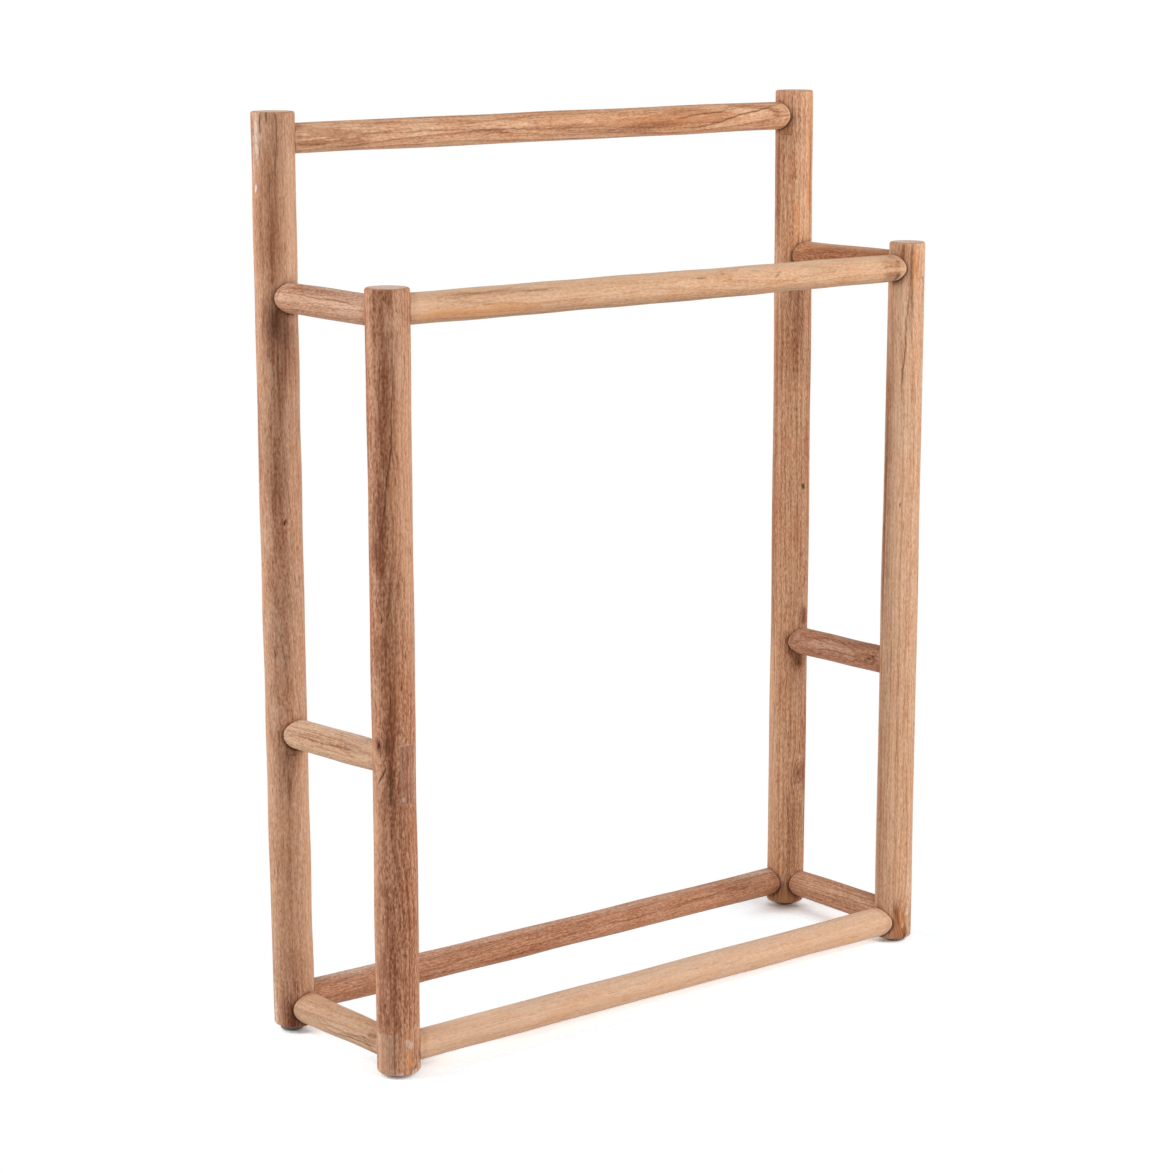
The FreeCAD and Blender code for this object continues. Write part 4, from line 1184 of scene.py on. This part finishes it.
# Finish: how figure, pores and marks move the wood between its colours, and how rough they are
FIGURE_START, DARK_FIGURE, WORN_FIGURE = 0.42, 0.34, -0.30
BODY_RISE, LATE_TONE_RISE, BLUSH_RISE = (0.0, 0.55), (0.40, 1.0), (0.40, 0.70)
RAGGED_EDGE, FLAKED_EDGE = (0.30, 0.66, 0.40, 1.20), (-0.25, 0.30, 1.40, 0.50)
PORE_STRENGTH = (0.0, 1.6, 0.20, 0.90)
LINE_STRENGTH = 0.55
AMBER_STRENGTH, WORN_STRENGTH, HEART_STRENGTH, HOLLOW_STRENGTH = 0.6, 0.40, 0.50, 0.9
ROUGH_START, PORE_ROUGH, WORN_ROUGH, HOLLOW_ROUGH = 0.58, 0.15, 0.12, 0.30

FIGURE_KEYS = ("Fine", "Coarse", "Lines", "Pores", "Streak", "Blotch")
MARK_COLOURS = ("heart", "worn", "hollow", "amber", "chalk")
BLUSH = (1.0, 0.93, 0.88, 1.0)


def teak_figure_group(name):
    """Figure of teak in log coordinates: growth rings, streaks, flecks, fibres, blotches and pores.

    A ring is a step of the distance from the pith, counted in ring widths. It darkens slowly towards
    its late wood, which ends in a line, and its pores are open in the early wood.
    """
    graph, given, put = new_group(
        name,
        {"Grain": VECTOR, "Ring Width": VALUE, "Offset": VECTOR},
        {key: VALUE for key in (*FIGURE_KEYS, "Height")})
    grain = graph.vector_math("ADD", given["Grain"], given["Offset"])
    rings = graph.split(given["Grain"])[0]
    noises = (STREAK_NOISE, FLECK_NOISE, FIBRE_NOISE, BLOTCH_NOISE, WANDER_NOISE, PORE_NOISE)
    streak, fleck, fibre, blotch, wander, pore_field = (graph.noise(grain, *values) for values in noises)
    wandered = graph.math("MULTIPLY_ADD", wander, RING_WANDER, rings)
    counted = graph.math("DIVIDE", wandered, given["Ring Width"])
    uneven = graph.noise(graph.vector(counted, given["Ring Width"]), *RING_NOISE)
    ring = graph.layers(counted, (uneven, RING_UNEVEN), (fleck, RING_FRAY))
    step = graph.math("FRACT", ring)
    number = graph.add("ShaderNodeTexWhiteNoise", noise_dimensions="1D")
    graph.join(graph.math("FLOOR", ring), number.inputs["W"])
    weight = graph.math("MULTIPLY_ADD", number.outputs["Value"], LINE_SPREAD, LINE_LEAST)
    fall = graph.ramp(step, *LATE_FALL)
    late = graph.math("MULTIPLY", graph.ramp(step, *LATE_RISE), fall)
    line = graph.math("MULTIPLY", graph.ramp(step, *LINE_RISE), fall)
    pores = graph.math("MULTIPLY", graph.ramp(pore_field, *PORE_EDGE), graph.ramp(step, *EARLY_FALL))
    results = {
        "Fine": graph.layers(FINE_START, (fleck, FLECK_SHARE), (fibre, FIBRE_SHARE)),
        "Coarse": graph.layers(
            COARSE_START, (late, LATE_SHARE), (streak, STREAK_SHARE), (blotch, BLOTCH_SHARE)),
        "Lines": graph.math("MULTIPLY", line, weight),
        "Pores": pores,
        "Streak": streak,
        "Blotch": blotch,
        "Height": graph.layers(0.0, (fibre, FIBRE_RELIEF), (pores, PORE_RELIEF)),
    }
    for key, value in results.items():
        graph.join(value, put[key])
    return graph.tree


def teak_finish_group(name):
    """Colour and roughness of oiled and worn teak from its figure, pores and marks.

    The figure picks a colour between early wood, body and late wood. Blush, marks and pores are
    then laid over it in turn, with the chalk on top.
    """
    inputs = {key: VALUE for key in (*FIGURE_KEYS, "Fine Share", "Coarse Share")}
    inputs.update({"Marks": VECTOR, "Stain": VECTOR})
    inputs.update({key.title(): COLOUR for key in (*TONE_PARTS, *MARK_COLOURS)})
    graph, given, put = new_group(name, inputs, {"Colour": COLOUR, "Roughness": VALUE})
    dark, worn, hollow = graph.split(given["Marks"])
    amber, chalk, _ = graph.split(given["Stain"])
    ragged = graph.math("MULTIPLY", dark, graph.ramp(given["Streak"], *RAGGED_EDGE))
    figure = graph.layers(
        FIGURE_START, (given["Fine"], given["Fine Share"]), (given["Coarse"], given["Coarse Share"]),
        (ragged, DARK_FIGURE), (worn, WORN_FIGURE))
    lines = graph.math("MULTIPLY", given["Lines"], given["Coarse Share"])
    pores = graph.math("MULTIPLY", given["Pores"], graph.ramp(given["Fine Share"], *PORE_STRENGTH))
    flaked = graph.math("MULTIPLY", chalk, graph.ramp(given["Fine"], *FLAKED_EDGE), clamp=True)
    colour = graph.mix(graph.ramp(figure, *BODY_RISE), given["Pale"], given["Body"])
    colour = graph.mix(graph.ramp(figure, *LATE_TONE_RISE), colour, given["Late"])
    colour = graph.mix(graph.math("MULTIPLY", lines, LINE_STRENGTH), colour, given["Late"])
    colour = graph.mix(graph.ramp(given["Blotch"], *BLUSH_RISE), colour, BLUSH, "MULTIPLY")
    # These coats lay stains and wear, and also painted shade and painted highlight where the marks hold
    # them.
    coats = (
        (amber, AMBER_STRENGTH, "Amber"), (worn, WORN_STRENGTH, "Worn"), (ragged, HEART_STRENGTH, "Heart"),
        (pores, 1.0, "Pore"), (hollow, HOLLOW_STRENGTH, "Hollow"), (flaked, 1.0, "Chalk"))
    for mask, strength, key in coats:
        colour = graph.mix(graph.math("MULTIPLY", mask, strength, clamp=True), colour, given[key])
    graph.join(colour, put["Colour"])
    rough = graph.layers(
        ROUGH_START, (given["Pores"], PORE_ROUGH), (worn, WORN_ROUGH), (hollow, HOLLOW_ROUGH))
    graph.join(rough, put["Roughness"])
    return graph.tree


def place_group(graph, name, build):
    """Node of a shared group, which is built the first time that it is asked for."""
    node = graph.add("ShaderNodeGroup")
    node.node_tree = bpy.data.node_groups.get(name) or build(name)
    return node


def read_vector(graph, name):
    """Point vector of the mesh, read by its name."""
    return graph.add("ShaderNodeAttribute", attribute_name=name).outputs["Vector"]


def new_material(name):
    """Material with an empty tree but for its output and one principled shader."""
    material = bpy.data.materials.new(name)
    material.use_nodes = True
    graph = Graph(material.node_tree)
    graph.tree.nodes.clear()
    shader = graph.add("ShaderNodeBsdfPrincipled")
    output = graph.add("ShaderNodeOutputMaterial")
    graph.join(shader.outputs[0], output.inputs[0])
    return material, graph, shader.inputs


def put_bump(graph, shader, height, strength, distance):
    """Bump a shader's normal by a height."""
    bump = graph.add("ShaderNodeBump")
    for key, value in (("Strength", strength), ("Distance", distance), ("Height", height)):
        graph.join(value, bump.inputs[key])
    graph.join(bump.outputs[0], shader["Normal"])


# Bump of the grain, specular level, and the range in which each log's noise is moved
GRAIN_STRENGTH, GRAIN_RELIEF = 0.35, 0.0003
TEAK_SPECULAR = 0.20
LOG_OFFSET = 3


def teak_material(name, piece):
    """Teak of one piece: the shared figure and finish with that piece's tone, ring width and place."""
    tones = settings().tones
    material, graph, shader = new_material(name)
    figure = place_group(graph, "teak_figure", teak_figure_group)
    finish = place_group(graph, "teak_finish", teak_finish_group)
    draw = np.random.default_rng(piece.log.seed)
    given = {
        "Grain": read_vector(graph, "grain"),
        "Ring Width": piece.log.rings,
        "Offset": tuple(draw.uniform(-LOG_OFFSET, LOG_OFFSET, 3)),
    }
    for key, value in given.items():
        graph.join(value, figure.inputs[key])
    given = {key: figure.outputs[key] for key in FIGURE_KEYS}
    given.update({"Fine Share": piece.log.fine, "Coarse Share": piece.log.coarse})
    given.update({"Marks": read_vector(graph, "marks"), "Stain": read_vector(graph, "stain")})
    for key in TONE_PARTS:
        given[key.title()] = linear(getattr(tones, f"{piece.tone}_{key}"), piece.tint)
    for key in MARK_COLOURS:
        given[key.title()] = linear(getattr(tones, key))
    for key, value in given.items():
        graph.join(value, finish.inputs[key])
    graph.join(finish.outputs["Colour"], shader["Base Color"])
    graph.join(finish.outputs["Roughness"], shader["Roughness"])
    graph.join(TEAK_SPECULAR, shader["Specular IOR Level"])
    put_bump(graph, shader, figure.outputs["Height"], GRAIN_STRENGTH, GRAIN_RELIEF)
    return material


SPECKLE_DETAIL = 4.0
SPECKLE_EDGE = (0.3, 0.7)
SPECKLE_STRENGTH, SPECKLE_RELIEF = 0.2, 0.0002

# Dark and light colour, scale of the speckle, metallic share and range of roughness
GLIDE_PLASTIC = ((0.430, 0.385, 0.350), (0.530, 0.480, 0.440), 600.0, 0.0, (0.42, 0.58))
SCREW_STEEL = ((0.560, 0.555, 0.545), (0.700, 0.690, 0.670), 900.0, 1.0, (0.30, 0.45))


def speckle_group(name):
    """Fine uneven speckle of moulded or rolled surfaces over Object coordinates."""
    graph, given, put = new_group(name, {"Scale": VALUE}, {"Speckle": VALUE})
    noise = graph.add("ShaderNodeTexNoise")
    graph.join(graph.add("ShaderNodeTexCoord").outputs["Object"], noise.inputs["Vector"])
    graph.join(given["Scale"], noise.inputs["Scale"])
    graph.join(SPECKLE_DETAIL, noise.inputs["Detail"])
    graph.join(noise.outputs["Fac"], put["Speckle"])
    return graph.tree


def speckled_material(name, dark, light, scale, metallic, roughness):
    """Plain material whose colour and roughness vary with a fine speckle."""
    material, graph, shader = new_material(name)
    speckle = place_group(graph, "speckle", speckle_group)
    graph.join(scale, speckle.inputs["Scale"])
    value = speckle.outputs["Speckle"]
    colour = graph.mix(graph.ramp(value, *SPECKLE_EDGE), linear(dark), linear(light))
    graph.join(colour, shader["Base Color"])
    graph.join(graph.ramp(value, *SPECKLE_EDGE, *roughness), shader["Roughness"])
    graph.join(metallic, shader["Metallic"])
    put_bump(graph, shader, value, SPECKLE_STRENGTH, SPECKLE_RELIEF)
    return material


# Stage

LIGHT_TARGET = Vector((0.0, 0.0, 0.45))

# Place of each softbox to the camera's right, towards the camera and up, and its width and height
SOFT_BOXES = {"right": ((2.0, 1.1, 1.5), (1.4, 2.0)), "left": ((-1.9, 0.4, 1.3), (1.2, 2.0))}


def soft_box(name, place, size, power):
    """Large area lamp that faces the middle of the rack."""
    aside, ahead, height = place
    right = view_right()
    back = np.array([-right[1], right[0]])
    lamp = bpy.data.lights.new(name, "AREA")
    lamp.shape = "RECTANGLE"
    lamp.size, lamp.size_y = size
    lamp.energy = power
    stand = bpy.data.objects.new(name, lamp)
    stand.location = (*(aside * right - ahead * back), height)
    stand.rotation_euler = (LIGHT_TARGET - stand.location).to_track_quat("-Z", "Y").to_euler()
    bpy.context.scene.collection.objects.link(stand)


def white_to_eye(graph):
    """1 where a ray comes from the camera, a mirror or glass, and 0 where it only carries light."""
    path = graph.add("ShaderNodeLightPath").outputs
    seen = graph.math("MAXIMUM", path["Is Camera Ray"], path["Is Glossy Ray"])
    return graph.math("MAXIMUM", seen, path["Is Transmission Ray"])


def build_world(strength):
    """White surroundings that the eye sees at full white and that light the rack softly."""
    world = bpy.data.worlds.new("studio")
    world.use_nodes = True
    bpy.context.scene.world = world
    graph = Graph(world.node_tree)
    graph.tree.nodes.clear()
    sky = graph.add("ShaderNodeBackground")
    graph.join((1.0, 1.0, 1.0, 1.0), sky.inputs["Color"])
    graph.join(graph.ramp(white_to_eye(graph), 0.0, 1.0, strength, 1.0), sky.inputs["Strength"])
    graph.join(sky.outputs[0], graph.add("ShaderNodeOutputWorld").inputs[0])


FLOOR_RINGS, FLOOR_COLUMNS = 24, 96
FLOOR_ROUGHNESS = 0.9

# Distances over which the floor fades to the eye, from the feet and from the thrown rail shadows
FOOT_FADE, RAIL_FADE = (0.012, 0.080), (0.012, 0.045)
RAIL_THROW = 0.012

# Distances over which the floor darkens to light, and its tint to the eye, which keeps shadows neutral
FLOOR_NEAR = (0.25, 1.00)
COOL_EYE = (0.92, 1.0, 1.035)


def floor_clear(graph, place):
    """0 on the floor near the feet and along the front and right rails' shadows, 1 clear of them.

    The four feet are folded into one corner. The rails' shadows are thrown a little to the right and
    to the back of the lines between the feet.
    """
    foot = post_box("rear_right")[0]
    folded = graph.vector_math("SUBTRACT", graph.vector_math("ABSOLUTE", place), (foot.x, foot.y, 0.0))
    past_x, past_y, _ = graph.split(graph.vector_math("MAXIMUM", folded, (0.0, 0.0, 0.0)))
    thrown = graph.vector_math("SUBTRACT", place, (foot.x + RAIL_THROW, RAIL_THROW - foot.y, 0.0))
    thrown_x, thrown_y, _ = graph.split(thrown)
    front_gap = graph.vector_math("LENGTH", graph.vector(past_x, thrown_y))
    right_gap = graph.vector_math("LENGTH", graph.vector(thrown_x, past_y))
    foot_clear = graph.ramp(graph.vector_math("LENGTH", folded), *FOOT_FADE)
    rail_clear = graph.ramp(graph.math("MINIMUM", front_gap, right_gap), *RAIL_FADE)
    return graph.math("MINIMUM", foot_clear, rail_clear)


def floor_material(stage):
    """Floor that the eye sees white, with close shadows, and that fades into the white surroundings.

    To light it is white near the rack and darker further off.
    """
    material, graph, shader = new_material("studio_floor")
    seen = white_to_eye(graph)
    place = graph.add("ShaderNodeTexCoord").outputs["Object"]
    tone = linear(stage.floor_colour)
    dim = linear(stage.floor_colour, stage.floor_bounce)
    bright = (*np.multiply(tone[:3], stage.floor_gain) * COOL_EYE, 1.0)
    far = graph.ramp(graph.vector_math("LENGTH", place), *FLOOR_NEAR)
    graph.join(graph.mix(seen, graph.mix(far, tone, dim), bright), shader["Base Color"])
    graph.join(FLOOR_ROUGHNESS, shader["Roughness"])
    graph.join(0.0, shader["Specular IOR Level"])
    blend = graph.add("ShaderNodeMixShader")
    output = next(node for node in graph.tree.nodes if node.type == "OUTPUT_MATERIAL")
    graph.join(graph.math("MULTIPLY", floor_clear(graph, place), seen), blend.inputs[0])
    graph.join(output.inputs[0].links[0].from_socket, blend.inputs[1])
    graph.join(graph.add("ShaderNodeBsdfTransparent").outputs[0], blend.inputs[2])
    graph.join(blend.outputs[0], output.inputs[0])
    return material


def build_floor(stage):
    """Round floor at the foot of the rack: rings of points about its middle."""
    reach = stage.floor_radius * np.linspace(0, 1, FLOOR_RINGS)[1:, None]
    around = np.linspace(0, 2 * np.pi, FLOOR_COLUMNS, endpoint=False)[None, :]
    ring = np.stack([reach * np.cos(around), reach * np.sin(around), 0 * reach * around], -1)
    points = np.concatenate([np.zeros((1, 3)), ring.reshape(-1, 3)])
    quads, fans = tube_faces(FLOOR_RINGS - 1, FLOOR_COLUMNS)
    floor = put_mesh("studio_floor", points, quads[:, ::-1], fans[:FLOOR_COLUMNS, ::-1], {})
    floor.data.materials.append(floor_material(stage))


def build_camera(stage):
    """Camera at its place, turned by its yaw and tilted by its pitch."""
    camera = bpy.data.cameras.new("camera")
    camera.lens = stage.lens
    eye = bpy.data.objects.new("camera", camera)
    eye.location = stage.camera_place
    eye.rotation_euler = Euler((np.pi / 2 + stage.camera_pitch, 0.0, -stage.camera_yaw))
    bpy.context.scene.collection.objects.link(eye)
    bpy.context.scene.camera = eye


# Operators

class RACK_OT_posts(bpy.types.Operator):
    """Build the four hand-shaped teak posts"""
    bl_idname = "rack.posts"
    bl_label = "Teak Posts"

    def execute(self, context):
        for corner, post in POSTS.items():
            points, places = post_points(corner)
            vectors = wood_vectors(post, *places)
            turn, height, radius = places[:3]
            paint_joint_shade(corner, vectors, turn, height, radius)
            pale_top_with_highlight(corner, vectors, height, places[-1])
            piece = put_tube(f"teak_post_{corner}", points, vectors)
            finish_piece(piece, teak_material(f"teak_{corner}", post), "teak_posts", f"post_{corner}")
        return {"FINISHED"}


class RACK_OT_long_rails(bpy.types.Operator):
    """Build the four long rails across the front and the back"""
    bl_idname = "rack.long_rails"
    bl_label = "Long Rails"

    def execute(self, context):
        build_rails(LONG_RAILS, NEAR_SIDES["long"], "teak_rails")
        return {"FINISHED"}


class RACK_OT_side_rails(bpy.types.Operator):
    """Build the three short rails on each side"""
    bl_idname = "rack.side_rails"
    bl_label = "Side Rails"

    def execute(self, context):
        build_rails(SIDE_RAILS, NEAR_SIDES["side"], "teak_rails")
        return {"FINISHED"}


class RACK_OT_patches(bpy.types.Operator):
    """Build the wood patches let into the posts"""
    bl_idname = "rack.patches"
    bl_label = "Inlaid Patches"

    def execute(self, context):
        for node, patch in PATCHES.items():
            build_patch(node, patch)
        return {"FINISHED"}


class RACK_OT_plugs(bpy.types.Operator):
    """Build the wood plugs over the screws"""
    bl_idname = "rack.plugs"
    bl_label = "Wood Plugs"

    def execute(self, context):
        for corner in POSTS:
            build_plugs(corner)
        return {"FINISHED"}


class RACK_OT_hardware(bpy.types.Operator):
    """Finish the glides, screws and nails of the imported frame"""
    bl_idname = "rack.hardware"
    bl_label = "Glides, Screws and Nails"

    def execute(self, context):
        plastic = speckled_material("glide_plastic", *GLIDE_PLASTIC)
        steel = speckled_material("screw_steel", *SCREW_STEEL)
        for name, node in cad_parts.items():
            if name.startswith(("glide_", "screws_")):
                material = steel if name.startswith("screws_") or name == "glide_nails" else plastic
                node.data.materials.clear()
                node.data.materials.append(material)
        return {"FINISHED"}


class RACK_OT_stage(bpy.types.Operator):
    """Set up the floor, the soft light, the camera and the view"""
    bl_idname = "rack.stage"
    bl_label = "Stage"

    def execute(self, context):
        stage = settings().stage
        context.scene.view_settings.view_transform = "Standard"
        build_world(stage.sky_strength)
        build_floor(stage)
        build_camera(stage)
        for side, (place, size) in SOFT_BOXES.items():
            soft_box(f"softbox_{side}", place, size, getattr(stage, f"{side}_power"))
        return {"FINISHED"}


OPERATORS = (RACK_OT_posts, RACK_OT_long_rails, RACK_OT_side_rails, RACK_OT_patches, RACK_OT_plugs,
             RACK_OT_hardware, RACK_OT_stage)


class RACK_PT_panel(bpy.types.Panel):
    """Lists the operators that build the rack and its main settings"""
    bl_idname = "RACK_PT_panel"
    bl_label = "Teak Towel Rack"
    bl_space_type = "VIEW_3D"
    bl_region_type = "UI"
    bl_category = "Rack"

    def draw(self, context):
        for operator in OPERATORS:
            self.layout.operator(operator.bl_idname)
        for group in (settings().shape, settings().tones, settings().stage):
            for key in type(group).__annotations__:
                self.layout.prop(group, key)


CLASSES = (RackShape, RackTones, RackStage, RackSettings, *OPERATORS, RACK_PT_panel)


def register():
    """Register the classes and give the scene its settings."""
    for kind in CLASSES:
        bpy.utils.register_class(kind)
    bpy.types.Scene.rack = PointerProperty(type=RackSettings)


def unregister():
    """Take the settings and the classes away again."""
    del bpy.types.Scene.rack
    for kind in reversed(CLASSES):
        bpy.utils.unregister_class(kind)


def main():
    """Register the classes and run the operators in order."""
    register()
    for operator in OPERATORS:
        family, action = operator.bl_idname.split(".")
        getattr(getattr(bpy.ops, family), action)()


if __name__ == "__main__":
    main()
